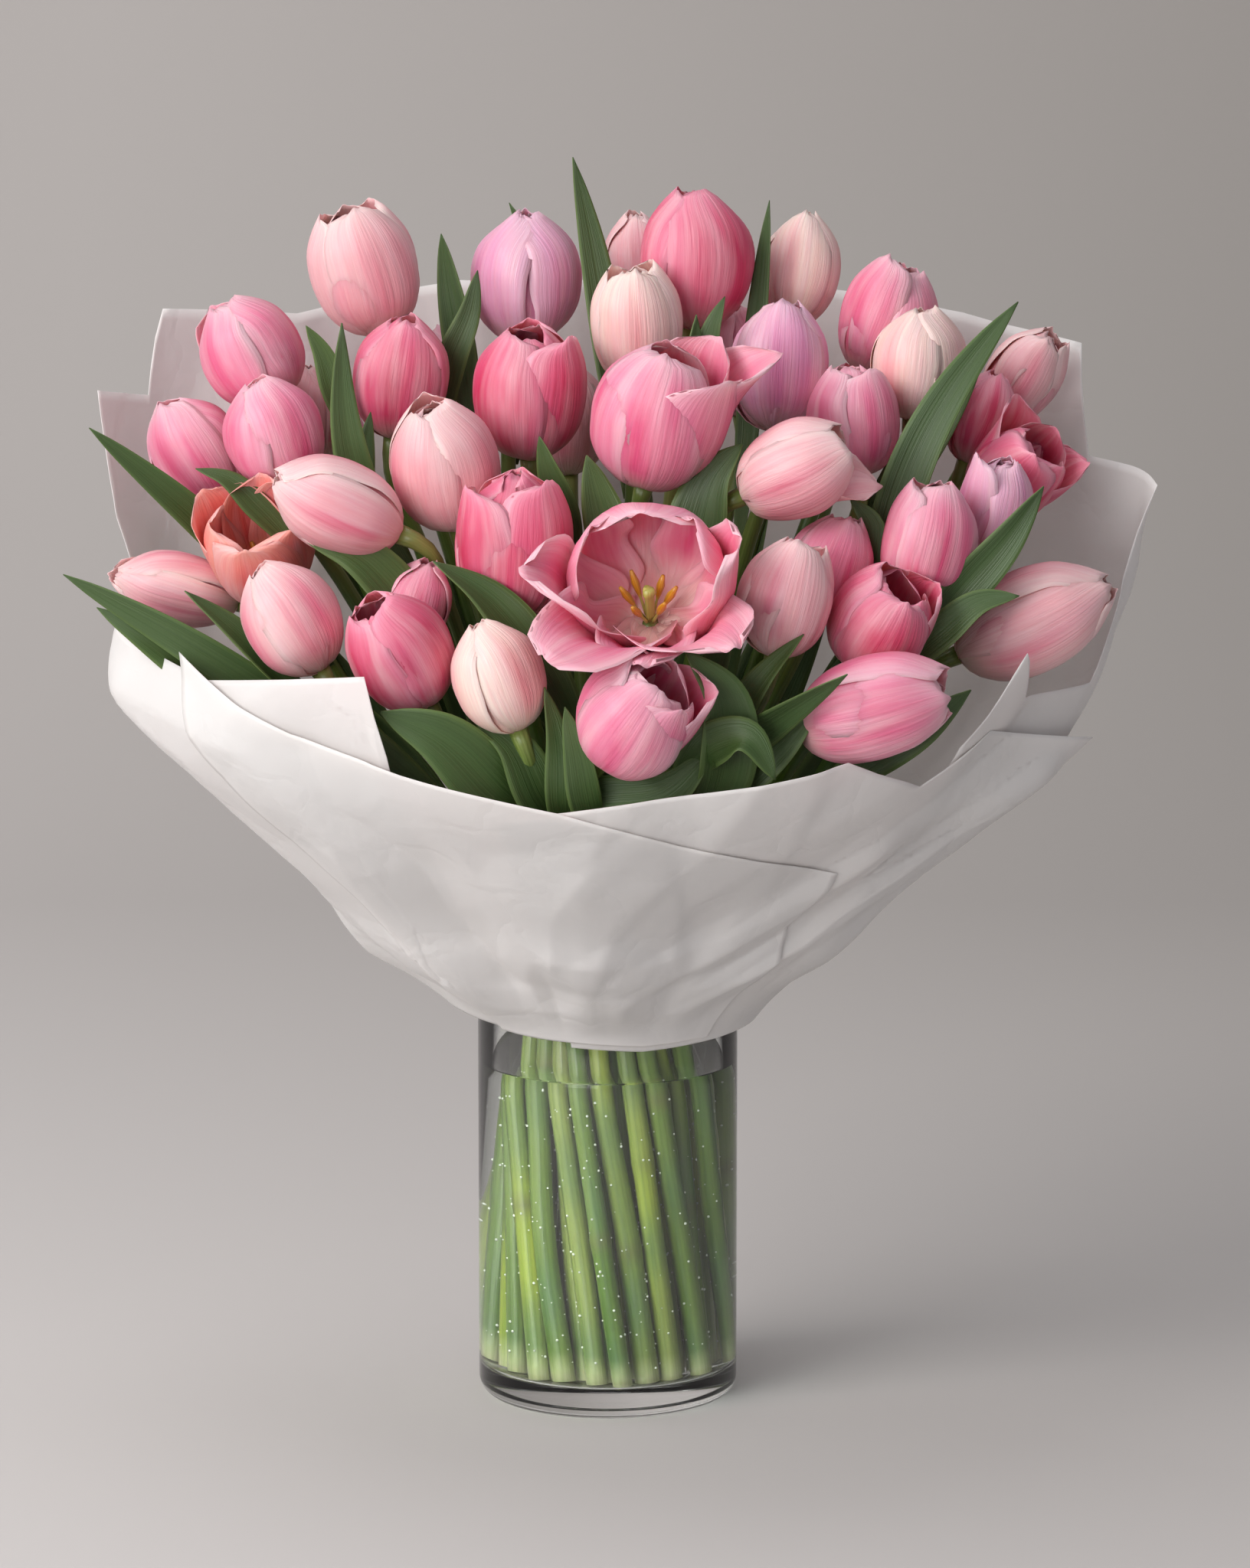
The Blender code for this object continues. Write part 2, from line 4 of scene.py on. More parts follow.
import bpy
import numpy as np
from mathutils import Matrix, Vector


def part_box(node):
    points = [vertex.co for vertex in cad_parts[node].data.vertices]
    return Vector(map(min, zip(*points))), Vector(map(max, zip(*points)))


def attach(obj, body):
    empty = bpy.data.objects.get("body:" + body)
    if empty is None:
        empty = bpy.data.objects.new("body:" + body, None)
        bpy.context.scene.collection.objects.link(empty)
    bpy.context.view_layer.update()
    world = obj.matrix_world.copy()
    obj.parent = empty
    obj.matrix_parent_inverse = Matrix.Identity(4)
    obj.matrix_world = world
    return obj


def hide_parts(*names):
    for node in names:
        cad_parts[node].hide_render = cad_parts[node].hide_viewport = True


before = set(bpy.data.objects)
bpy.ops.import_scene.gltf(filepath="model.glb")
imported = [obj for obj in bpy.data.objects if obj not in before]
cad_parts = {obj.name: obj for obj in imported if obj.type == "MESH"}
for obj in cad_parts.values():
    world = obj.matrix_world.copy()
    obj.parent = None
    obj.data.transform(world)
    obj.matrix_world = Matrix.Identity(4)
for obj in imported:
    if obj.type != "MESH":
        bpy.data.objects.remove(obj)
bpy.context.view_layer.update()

MM = 0.001
END_RING = 0.02             # the small ring that closes a rod, as a share of the rod's radius
UV_LENGTH = 0.1             # metres of a rod's length to one unit of its UV map
STEM_RINGS = 9              # rings of a tulip's solid that belong to its stem
FLOWER_SIDES = 6
LEAF_SIDES = 4
WATER_NODE = "water"
VASE_NODE = "vase"

# ---------------------------------------------------------------- colours

# Petal colours as displayed (0 to 255): body, pale edge, flame along the middle, foot
PALETTES = {
    "blush": ((238, 168, 174), (252, 224, 216), (226, 108, 136), (250, 232, 208)),
    "lilac": ((232, 158, 190), (244, 200, 216), (208, 108, 158), (246, 222, 214)),
    "rose": ((232, 112, 150), (252, 206, 214), (216, 64, 114), (250, 222, 204)),
    "cream": ((248, 210, 196), (252, 232, 218), (240, 146, 156), (248, 236, 204)),
    "magenta": ((218, 66, 110), (246, 160, 180), (194, 30, 78), (246, 204, 192)),
    "coral": ((244, 138, 124), (250, 186, 172), (226, 84, 92), (250, 214, 150)),
}
LEAF_GREEN = (38, 58, 22)
LEAF_PALE = (82, 104, 40)
LEAF_EDGE = (134, 154, 84)
LEAF_FOOT = (146, 160, 92)
LEAF_BACK = (78, 104, 56)
STEM_GREEN = (84, 118, 32)
STEM_PALE = (170, 176, 98)
STEM_YELLOW = (164, 178, 34)
STEM_BLUE = (78, 116, 70)
STEM_FOOT = (222, 222, 176)
STEM_KNOT = (96, 92, 52)
STEM_TOP = (140, 150, 84)
PISTIL = (206, 196, 110)
POLLEN = (226, 150, 40)
PAPER_SHADES = ((222, 216, 213), (234, 229, 226))
# The air bubbles' pale, nearly white colours are a painted highlight for the glint of air under water
BUBBLE_PAINTED_GLINT = ((214, 224, 196), (250, 252, 246))
# The floor's colours are painted light and shade: lighter at the front and on the left, darker behind and on
# the right, as if the key lamp's light fell off across it
FLOOR_PAINTED_LIGHT_FRONT = ((202, 197, 195), (187, 182, 179))        # floor near the vase, on the left and on the right
FLOOR_PAINTED_LIGHT_BACK = ((189, 183, 179), (168, 162, 157))         # the same far behind it


def linear(color):
    """Scene-linear colour of a displayed one."""
    shares = np.array(color, float) / 255
    return np.where(shares <= 0.04045, shares / 12.92, ((shares + 0.055) / 1.055) ** 2.4)


def mix(one, two, share):
    share = np.asarray(share)[..., None]
    return one * (1 - share) + two * share


# ---------------------------------------------------------------- curves and meshes

def unit(vector):
    return vector / np.maximum(np.linalg.norm(vector, axis=-1, keepdims=True), 1e-12)


def smooth_through(table, at):
    """Smooth values at some places of a line through (place, value) pairs."""
    place, value = np.array(table, float).T
    slope = np.gradient(value, place)
    at = np.clip(at, place[0], place[-1])
    k = np.clip(np.searchsorted(place, at, side="right") - 1, 0, len(place) - 2)
    run = place[k + 1] - place[k]
    share = (at - place[k]) / run
    leaving = ((2 * share ** 3 - 3 * share ** 2 + 1) * value[k]
               + (share ** 3 - 2 * share ** 2 + share) * run * slope[k])
    arriving = ((3 * share ** 2 - 2 * share ** 3) * value[k + 1]
                + (share ** 3 - share ** 2) * run * slope[k + 1])
    return leaving + arriving


def resample(points, count):
    """Evenly spaced points on a smooth line through the given ones."""
    points = np.array(points, float)
    run = np.concatenate([[0], np.cumsum(np.linalg.norm(np.diff(points, axis=0), axis=1))])
    at = np.linspace(0, run[-1], count)
    return np.stack([smooth_through(np.stack([run, points[:, k]], 1), at) for k in range(3)], 1)


def carried_frames(points):
    """Directions to the side and over at each point of a line, turned as little as possible."""
    ahead = unit(np.gradient(points, axis=0))
    side = unit(np.cross([0.0, 1.0, 0.2], ahead[0]))
    sides = []
    for direction in ahead:
        side = unit(side - direction * (side @ direction))
        sides.append(side)
    sides = np.array(sides)
    return sides, np.cross(ahead, sides)


def grid_faces(index):
    """The quads of a grid of point numbers."""
    return np.stack([index[:-1, :-1], index[:-1, 1:], index[1:, 1:], index[1:, :-1]], -1).reshape(-1, 4)


def tube_faces(index):
    """The quads between rings of point numbers, with both end rings closed by quads."""
    after = np.roll(index, -1, axis=1)
    walls = np.stack([index[:-1], after[:-1], after[1:], index[1:]], -1).reshape(-1, 4)
    sides = index.shape[1]
    caps = []
    for ring, flip in ((index[0], True), (index[-1], False)):
        for k in range(1, sides // 2):
            face = [ring[k - 1], ring[k], ring[sides - 1 - k], ring[(sides - k) % sides]]
            caps.append(face[::-1] if flip else face)
    return np.concatenate([walls, np.array(caps)])


class Skin:
    """Collects points, quads, UVs and tints, and makes one mesh of them."""

    def __init__(self):
        self.points, self.quads, self.uvs, self.tints, self.kinds = [], [], [], [], []
        self.count = 0

    def add(self, points, quads, uvs, tints, kind=0):
        self.points.append(points)
        self.quads.append(quads + self.count)
        self.uvs.append(uvs)
        self.tints.append(tints)
        self.kinds.append(np.full(len(quads), kind))
        self.count += len(points)

    def grid(self, points, uvs, tints, thickness, kind=0):
        """A thin sheet over a grid of points, closed round its edge."""
        rows, columns = points.shape[:2]
        normal = unit(np.cross(np.gradient(points, axis=1), np.gradient(points, axis=0)))
        back = points - normal * np.asarray(thickness)[..., None]
        index = np.arange(rows * columns).reshape(rows, columns)
        front_faces = grid_faces(index)
        other = rows * columns
        back_faces = front_faces[:, ::-1] + other
        border = np.concatenate([index[0, :-1], index[:-1, -1], index[-1, :0:-1], index[:0:-1, 0]])
        after = np.roll(border, -1)
        rim = np.stack([after, border, border + other, after + other], 1)
        self.add(np.concatenate([points.reshape(-1, 3), back.reshape(-1, 3)]),
                 np.concatenate([front_faces, back_faces, rim]),
                 np.concatenate([uvs.reshape(-1, 2)] * 2),
                 np.concatenate([tints[0].reshape(-1, 3), tints[1].reshape(-1, 3)]), kind)

    def tube(self, points, radii, tints, sides=10, kind=0, wobble=None):
        """A round rod along a line of points, closed at both ends by small rings."""
        side, over = carried_frames(points)
        radii = np.asarray(radii, float)
        points = np.concatenate([points[:1], points, points[-1:]])
        radii = np.concatenate([[radii[0] * END_RING], radii, [radii[-1] * END_RING]])
        tints = np.concatenate([tints[:1], tints, tints[-1:]])
        side = np.concatenate([side[:1], side, side[-1:]])
        over = np.concatenate([over[:1], over, over[-1:]])
        turns = np.linspace(0, math.tau, sides, endpoint=False)
        ring = np.cos(turns)[None, :, None] * side[:, None] + np.sin(turns)[None, :, None] * over[:, None]
        swell = 1 if wobble is None else wobble(turns)[None, :, None]
        skin = points[:, None] + ring * radii[:, None, None] * swell
        rows = len(points)
        quads = tube_faces(np.arange(rows * sides).reshape(rows, sides))
        around = np.broadcast_to(np.abs(np.linspace(-1, 1, sides, endpoint=False))[None], (rows, sides))
        run = np.concatenate([[0], np.cumsum(np.linalg.norm(np.diff(points, axis=0), axis=1))])
        uvs = np.stack([around, np.broadcast_to(run[:, None] / UV_LENGTH, (rows, sides))], -1)
        self.add(skin.reshape(-1, 3), quads, uvs.reshape(-1, 2), np.repeat(tints, sides, axis=0), kind)

    def build(self, name, materials):
        points, quads = np.concatenate(self.points), np.concatenate(self.quads)
        uvs, tints = np.concatenate(self.uvs), np.concatenate(self.tints)
        mesh = bpy.data.meshes.new(name)
        mesh.vertices.add(len(points))
        mesh.vertices.foreach_set("co", points.astype(np.float32).ravel())
        mesh.loops.add(quads.size)
        mesh.loops.foreach_set("vertex_index", quads.astype(np.int32).ravel())
        mesh.polygons.add(len(quads))
        mesh.polygons.foreach_set("loop_start", np.arange(0, quads.size, 4, dtype=np.int32))
        mesh.polygons.foreach_set("material_index", np.concatenate(self.kinds).astype(np.int32))
        layer = mesh.uv_layers.new(name="UVMap")
        layer.data.foreach_set("uv", uvs[quads.ravel()].astype(np.float32).ravel())
        tint = mesh.color_attributes.new("tint", "FLOAT_COLOR", "POINT")
        colors = np.hstack([tints, np.ones((len(tints), 1))])
        tint.data.foreach_set("color", colors.astype(np.float32).ravel())
        mesh.update(calc_edges=True)
        mesh.validate()
        mesh.shade_smooth()
        for material in materials:
            mesh.materials.append(material)
        item = bpy.data.objects.new(name, mesh)
        bpy.context.scene.collection.objects.link(item)
        return item


def finish_piece(item, slot, *nodes):
    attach(item, "root")
    if nodes:
        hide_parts(*nodes)
    return item


# ---------------------------------------------------------------- materials

def nodes_of(material):
    material.use_nodes = True
    tree = material.node_tree
    return tree, tree.nodes["Principled BSDF"]


def link(tree, one, two):
    tree.links.new(one, two)


def streak_group():
    """Fine lines that run along a piece's UV map, for petals, leaves and stems."""
    group = bpy.data.node_groups.new("fine_streaks", "ShaderNodeTree")
    for name, value in (("Across", 30.0), ("Along", 1.5), ("Depth", 0.3)):
        socket = group.interface.new_socket(name, in_out="INPUT", socket_type="NodeSocketFloat")
        socket.default_value = value
    group.interface.new_socket("Color", in_out="INPUT", socket_type="NodeSocketColor")
    group.interface.new_socket("Vein", in_out="INPUT", socket_type="NodeSocketColor")
    group.interface.new_socket("Light", in_out="INPUT", socket_type="NodeSocketColor")
    group.interface.new_socket("Color", in_out="OUTPUT", socket_type="NodeSocketColor")
    group.interface.new_socket("Streak", in_out="OUTPUT", socket_type="NodeSocketFloat")
    add = group.nodes.new
    inside, outside = add("NodeGroupInput"), add("NodeGroupOutput")
    uv = add("ShaderNodeUVMap")
    uv.uv_map = "UVMap"
    parts = add("ShaderNodeSeparateXYZ")
    across, along = add("ShaderNodeMath"), add("ShaderNodeMath")
    across.operation = along.operation = "MULTIPLY"
    place = add("ShaderNodeCombineXYZ")
    place.inputs["Z"].default_value = 0.37
    noise = add("ShaderNodeTexNoise")
    noise.inputs["Scale"].default_value = 1.0
    noise.inputs["Detail"].default_value = 3.0
    noise.inputs["Roughness"].default_value = 0.6
    spread = add("ShaderNodeMapRange")
    spread.inputs["From Min"].default_value = 0.32
    spread.inputs["From Max"].default_value = 0.68
    weight = add("ShaderNodeMath")
    weight.operation = "MULTIPLY"
    blend = add("ShaderNodeMixRGB")
    blend.blend_type = "MULTIPLY"
    broad = add("ShaderNodeVectorMath")
    broad.operation = "MULTIPLY"
    broad.inputs[1].default_value = (0.22, 0.9, 1.0)
    patches = add("ShaderNodeTexNoise")
    patches.inputs["Detail"].default_value = 2.0
    patches.inputs["Scale"].default_value = 1.0
    reach = add("ShaderNodeMapRange")
    reach.inputs["From Min"].default_value = 0.42
    reach.inputs["From Max"].default_value = 0.80
    reach.inputs["To Max"].default_value = 0.55
    lighten = add("ShaderNodeMixRGB")
    link(group, place.outputs[0], broad.inputs[0])
    link(group, broad.outputs[0], patches.inputs["Vector"])
    link(group, patches.outputs["Fac"], reach.inputs["Value"])
    link(group, reach.outputs["Result"], lighten.inputs[0])
    link(group, inside.outputs["Color"], lighten.inputs[1])
    link(group, inside.outputs["Light"], lighten.inputs[2])
    link(group, uv.outputs["UV"], parts.inputs[0])
    link(group, parts.outputs["X"], across.inputs[0])
    link(group, inside.outputs["Across"], across.inputs[1])
    link(group, parts.outputs["Y"], along.inputs[0])
    link(group, inside.outputs["Along"], along.inputs[1])
    link(group, across.outputs[0], place.inputs["X"])
    link(group, along.outputs[0], place.inputs["Y"])
    link(group, place.outputs[0], noise.inputs["Vector"])
    link(group, noise.outputs["Fac"], spread.inputs["Value"])
    link(group, spread.outputs["Result"], weight.inputs[0])
    link(group, inside.outputs["Depth"], weight.inputs[1])
    link(group, weight.outputs[0], blend.inputs[0])
    link(group, lighten.outputs[0], blend.inputs[1])
    link(group, inside.outputs["Vein"], blend.inputs[2])
    link(group, blend.outputs[0], outside.inputs["Color"])
    link(group, spread.outputs["Result"], outside.inputs["Streak"])
    return group


def streaked_material(name, group, vein, light, across, along, depth, roughness, bump,
                      subsurface=0.0, coat=0.0):
    """A tinted surface with fine lines along it."""
    material = bpy.data.materials.new(name)
    tree, shader = nodes_of(material)
    tint = tree.nodes.new("ShaderNodeAttribute")
    tint.attribute_name = "tint"
    streaks = tree.nodes.new("ShaderNodeGroup")
    streaks.node_tree = group
    streaks.inputs["Across"].default_value = across
    streaks.inputs["Along"].default_value = along
    streaks.inputs["Depth"].default_value = depth
    streaks.inputs["Vein"].default_value = (*vein, 1)
    streaks.inputs["Light"].default_value = (*light, 1)
    height = tree.nodes.new("ShaderNodeBump")
    height.inputs["Strength"].default_value = bump
    height.inputs["Distance"].default_value = 0.0006
    link(tree, tint.outputs["Color"], streaks.inputs["Color"])
    link(tree, streaks.outputs["Color"], shader.inputs["Base Color"])
    link(tree, streaks.outputs["Streak"], height.inputs["Height"])
    link(tree, height.outputs["Normal"], shader.inputs["Normal"])
    shader.inputs["Roughness"].default_value = roughness
    shader.inputs["Subsurface Weight"].default_value = subsurface
    shader.inputs["Subsurface Radius"].default_value = (1.0, 0.5, 0.4)
    shader.inputs["Subsurface Scale"].default_value = 0.004
    shader.inputs["Coat Weight"].default_value = coat
    shader.inputs["Coat Roughness"].default_value = 0.3
    return material


def clear_material(name, color, ior):
    """Glass or water that lets the lamps' light through to what stands in it."""
    material = bpy.data.materials.new(name)
    tree, shader = nodes_of(material)
    shader.inputs["Base Color"].default_value = (*color, 1)
    shader.inputs["Roughness"].default_value = 0.0
    shader.inputs["IOR"].default_value = ior
    shader.inputs["Transmission Weight"].default_value = 1.0
    path = tree.nodes.new("ShaderNodeLightPath")
    through = tree.nodes.new("ShaderNodeBsdfTransparent")
    through.inputs["Color"].default_value = (0.93, 0.95, 0.95, 1)
    either = tree.nodes.new("ShaderNodeMixShader")
    output = tree.nodes["Material Output"]
    link(tree, path.outputs["Is Shadow Ray"], either.inputs[0])
    link(tree, shader.outputs[0], either.inputs[1])
    link(tree, through.outputs[0], either.inputs[2])
    link(tree, either.outputs[0], output.inputs["Surface"])
    return material


def paper_material():
    """Thin white paper: faint fibres, small creases and a soft glow of what lies behind it."""
    material = bpy.data.materials.new("wrapping_paper")
    tree, shader = nodes_of(material)
    add = tree.nodes.new
    place = add("ShaderNodeTexCoord")
    creases = add("ShaderNodeTexVoronoi")
    creases.feature = "DISTANCE_TO_EDGE"
    creases.inputs["Scale"].default_value = 22.0
    warp = add("ShaderNodeTexNoise")
    warp.inputs["Scale"].default_value = 14.0
    warp.inputs["Detail"].default_value = 4.0
    warped = add("ShaderNodeMixRGB")
    warped.inputs[0].default_value = 0.10
    edge = add("ShaderNodeMapRange")
    edge.inputs["From Max"].default_value = 0.10
    fibres = add("ShaderNodeTexNoise")
    fibres.inputs["Scale"].default_value = 420.0
    fibres.inputs["Detail"].default_value = 4.0
    total = add("ShaderNodeMath")
    total.operation = "MULTIPLY_ADD"
    total.inputs[1].default_value = 0.12
    bump = add("ShaderNodeBump")
    bump.inputs["Strength"].default_value = 0.16
    bump.inputs["Distance"].default_value = 0.0008
    shade = add("ShaderNodeValToRGB")
    for element, color in zip(shade.color_ramp.elements, PAPER_SHADES):
        element.color = (*linear(color), 1)
    link(tree, place.outputs["Object"], warp.inputs["Vector"])
    link(tree, place.outputs["Object"], warped.inputs[1])
    link(tree, warp.outputs["Color"], warped.inputs[2])
    link(tree, warped.outputs[0], creases.inputs["Vector"])
    link(tree, creases.outputs["Distance"], edge.inputs["Value"])
    link(tree, place.outputs["Object"], fibres.inputs["Vector"])
    link(tree, fibres.outputs["Fac"], total.inputs[0])
    link(tree, edge.outputs["Result"], total.inputs[2])
    link(tree, total.outputs[0], bump.inputs["Height"])
    link(tree, bump.outputs["Normal"], shader.inputs["Normal"])
    link(tree, warp.outputs["Fac"], shade.inputs["Fac"])
    link(tree, shade.outputs["Color"], shader.inputs["Base Color"])
    shader.inputs["Roughness"].default_value = 0.6
    shader.inputs["Subsurface Weight"].default_value = 0.4
    shader.inputs["Subsurface Radius"].default_value = (1.0, 0.9, 0.85)
    shader.inputs["Subsurface Scale"].default_value = 0.003
    return material


# ---------------------------------------------------------------- reading the solids

def read_rings(node, sides):
    """The rings of points that a lofted solid was made of, from its lowest end."""
    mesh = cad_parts[node].data
    points = np.array([vertex.co for vertex in mesh.vertices])
    keys, index = np.unique(np.round(points, 6), axis=0, return_inverse=True)
    index = index.ravel()
    links = [set() for _ in keys]
    for face in mesh.polygons:
        corners = [index[k] for k in face.vertices]
        for corner in corners:
            links[corner].update(corners)
    lowest = keys[np.argmin(keys[:, 2])]
    ring = list(np.argsort(np.linalg.norm(keys - lowest, axis=1))[:sides])
    rings, seen = [], set(ring)
    while ring:
        rings.append(keys[ring])
        ring = list(set().union(*(links[k] for k in ring)) - seen)
        seen.update(ring)
    return rings


class Tulip:
    """A tulip as its solid gives it: the stem's line, and the bloom's place and size."""

    def __init__(self, name):
        self.name = name
        self.number = int(name.split("_")[1])
        rings = read_rings(name, FLOWER_SIDES)
        centres = np.array([ring.mean(0) for ring in rings])
        widths = np.array([np.linalg.norm(ring - ring.mean(0), axis=1).max() for ring in rings])
        self.line = centres[:STEM_RINGS]
        self.base = self.line[-1]
        far = np.argmax(np.linalg.norm(centres[STEM_RINGS:] - self.base, axis=1)) + STEM_RINGS
        self.axis = unit(centres[far] - self.base)
        self.length = np.linalg.norm(centres[far] - self.base)
        self.radius = widths[STEM_RINGS:].max()
        self.side = unit(np.cross([0.0, 1.0, 0.25], self.axis))
        self.over = np.cross(self.axis, self.side)


# ---------------------------------------------------------------- blooms

# Half width of a petal, and the bloom's radius from base to tip, closed and open
PETAL_WIDTH = [(0, 0.20), (0.06, 0.42), (0.18, 0.76), (0.34, 0.98), (0.5, 1.05), (0.66, 1.03), (0.8, 0.92),
               (0.9, 0.76), (0.96, 0.56), (1.0, 0.20)]
CLOSED = [(0, 0.10), (0.05, 0.42), (0.14, 0.70), (0.28, 0.92), (0.44, 1.0), (0.62, 0.97), (0.78, 0.80),
          (0.9, 0.50), (1.0, 0.15)]
OPEN = [(0, 0.08), (0.05, 0.30), (0.14, 0.52), (0.28, 0.72), (0.44, 0.86), (0.62, 0.95), (0.78, 1.0),
        (0.9, 1.04), (1.0, 1.10)]
PETAL_ROWS = 24
PETAL_COLUMNS = 15
PETAL_THICKNESS = 0.6 * MM
STEM_ROWS = 56
BLOOM_GROWTH = 1.05         # the petals stand a little outside of the six-sided solid

# Each bloom's colour, how far it is open (0 to 1), the turn of its outer petals in degrees (270 is
# the front, 0 the right) and how ruffled it is
BLOOMS = {
    1: ("blush", 0.3, 50, 0.8), 2: ("lilac", 0.1, 95, 1.6), 3: ("magenta", 0.12, 60, 0.9),
    4: ("cream", 0.0, 10, 0.5), 5: ("cream", 0.3, 30, 0.9), 6: ("rose", 0.2, 100, 0.9),
    7: ("cream", 0.05, 115, 0.6), 8: ("lilac", 0.12, 30, 1.8), 9: ("rose", 0.22, 110, 1.0),
    10: ("rose", 0.15, 80, 0.9), 11: ("rose", 0.2, 20, 0.9), 12: ("magenta", 0.18, 30, 0.8),
    13: ("magenta", 0.32, 95, 0.9), 14: ("rose", 0.55, 8, 1.0), 15: ("blush", 0.22, 110, 0.8),
    16: ("blush", 0.05, 30, 0.6), 17: ("rose", 0.22, 80, 1.0), 18: ("blush", 0.32, 30, 1.0),
    19: ("blush", 0.15, 10, 1.2), 20: ("magenta", 0.2, 30, 0.8), 21: ("magenta", 0.65, 15, 1.2),
    22: ("lilac", 0.25, 80, 1.2), 23: ("rose", 0.15, 50, 0.9), 24: ("blush", 0.12, 30, 0.9),
    25: ("blush", 0.18, 20, 1.3), 26: ("rose", 0.2, 30, 1.0), 27: ("rose", 1.0, 28, 2.4),
    28: ("magenta", 0.02, 85, 0.9), 29: ("magenta", 0.45, 30, 1.0), 30: ("rose", 0.25, 25, 1.3),
    31: ("rose", 0.55, 20, 0.8), 32: ("cream", 0.0, 70, 0.4), 33: ("magenta", 0.38, 90, 0.9),
    34: ("blush", 0.12, 75, 0.8), 35: ("coral", 0.75, 20, 1.0), 36: ("blush", 0.0, 20, 0.6),
    37: ("blush", 0.1, 0, 0.6), 38: ("rose", 0.1, 30, 0.8), 39: ("blush", 0.1, 30, 0.6),
    40: ("rose", 0.2, 80, 0.8), 41: ("rose", 0.2, 10, 0.8), 42: ("blush", 0.2, 25, 0.6),
    43: ("magenta", 0.2, 0, 0.8), 44: ("lilac", 0.15, 15, 0.8),
}

# Petals that stand away from their bloom: how much more open than the rest (place 0 to 2 are the
# outer petals, and 3 to 5 the inner ones)
FLARED = {
    1: {0: 0.25, 1: 0.1}, 3: {1: 0.2}, 5: {1: 0.2, 2: 0.1}, 6: {0: 0.2, 1: 0.15}, 9: {0: 0.4}, 10: {0: 0.2},
    13: {1: 0.15, 2: 0.15}, 17: {0: 0.3, 2: 0.25}, 18: {0: 0.95, 1: 0.2}, 19: {0: 0.3, 2: 0.3},
    21: {1: 0.4, 0: 0.3}, 22: {1: 0.4}, 23: {1: 0.35}, 25: {0: 0.45, 2: 0.1}, 28: {0: 0.55, 1: 0.6, 2: 0.5},
    29: {0: 0.25}, 30: {2: 0.1, 0: 0.25}, 31: {2: -0.25, 0: 0.2}, 33: {1: 0.1}, 34: {1: 0.15}, 35: {1: 0.2},
}

# The two fullest blooms, petal by petal: turn, how far it is open, its length and width as shares,
# and whether it stands inside the others
FULL_BLOOMS = {
    14: [(250, 0.32, 1.0, 1.05, False), (318, 0.85, 0.96, 1.0, False), (8, 1.25, 1.06, 0.92, False),
         (48, 0.8, 1.0, 0.9, True), (112, 0.45, 0.94, 1.0, True), (182, 0.30, 0.97, 1.0, False)],
    27: [(92, 0.35, 1.02, 0.80, False), (150, 0.60, 0.94, 0.62, True), (34, 0.55, 0.96, 0.64, True),
         (194, 1.2, 1.0, 0.68, False), (354, 0.85, 1.04, 0.70, False), (234, 1.65, 0.90, 0.68, False),
         (302, 1.5, 0.88, 0.72, False), (266, 1.35, 0.70, 0.60, True)],
}


def petal_row(number, draw):
    """Each petal of a bloom: its turn, how far it is open, its length and width, and whether it is inside."""
    if number in FULL_BLOOMS:
        return FULL_BLOOMS[number]
    _, opened, turn, _ = BLOOMS[number]
    row = []
    for place in range(6):
        inner = place > 2
        flare = FLARED.get(number, {}).get(place, 0.0)
        wide_open = opened + draw.normal(0, 0.06) - (0.16 if inner else 0) * (1 - opened) + flare
        tall = (1.0 + draw.uniform(-0.05, 0.02)) * (0.96 if inner else 1.0) * (1 - 0.10 * max(flare, 0))
        spin = turn + 120 * (place % 3) + (60 if inner else 0) + draw.uniform(-7, 7)
        row.append((spin, np.clip(wide_open, -0.15, 1.5), tall, 0.93 if inner else 1.04, inner))
    return row


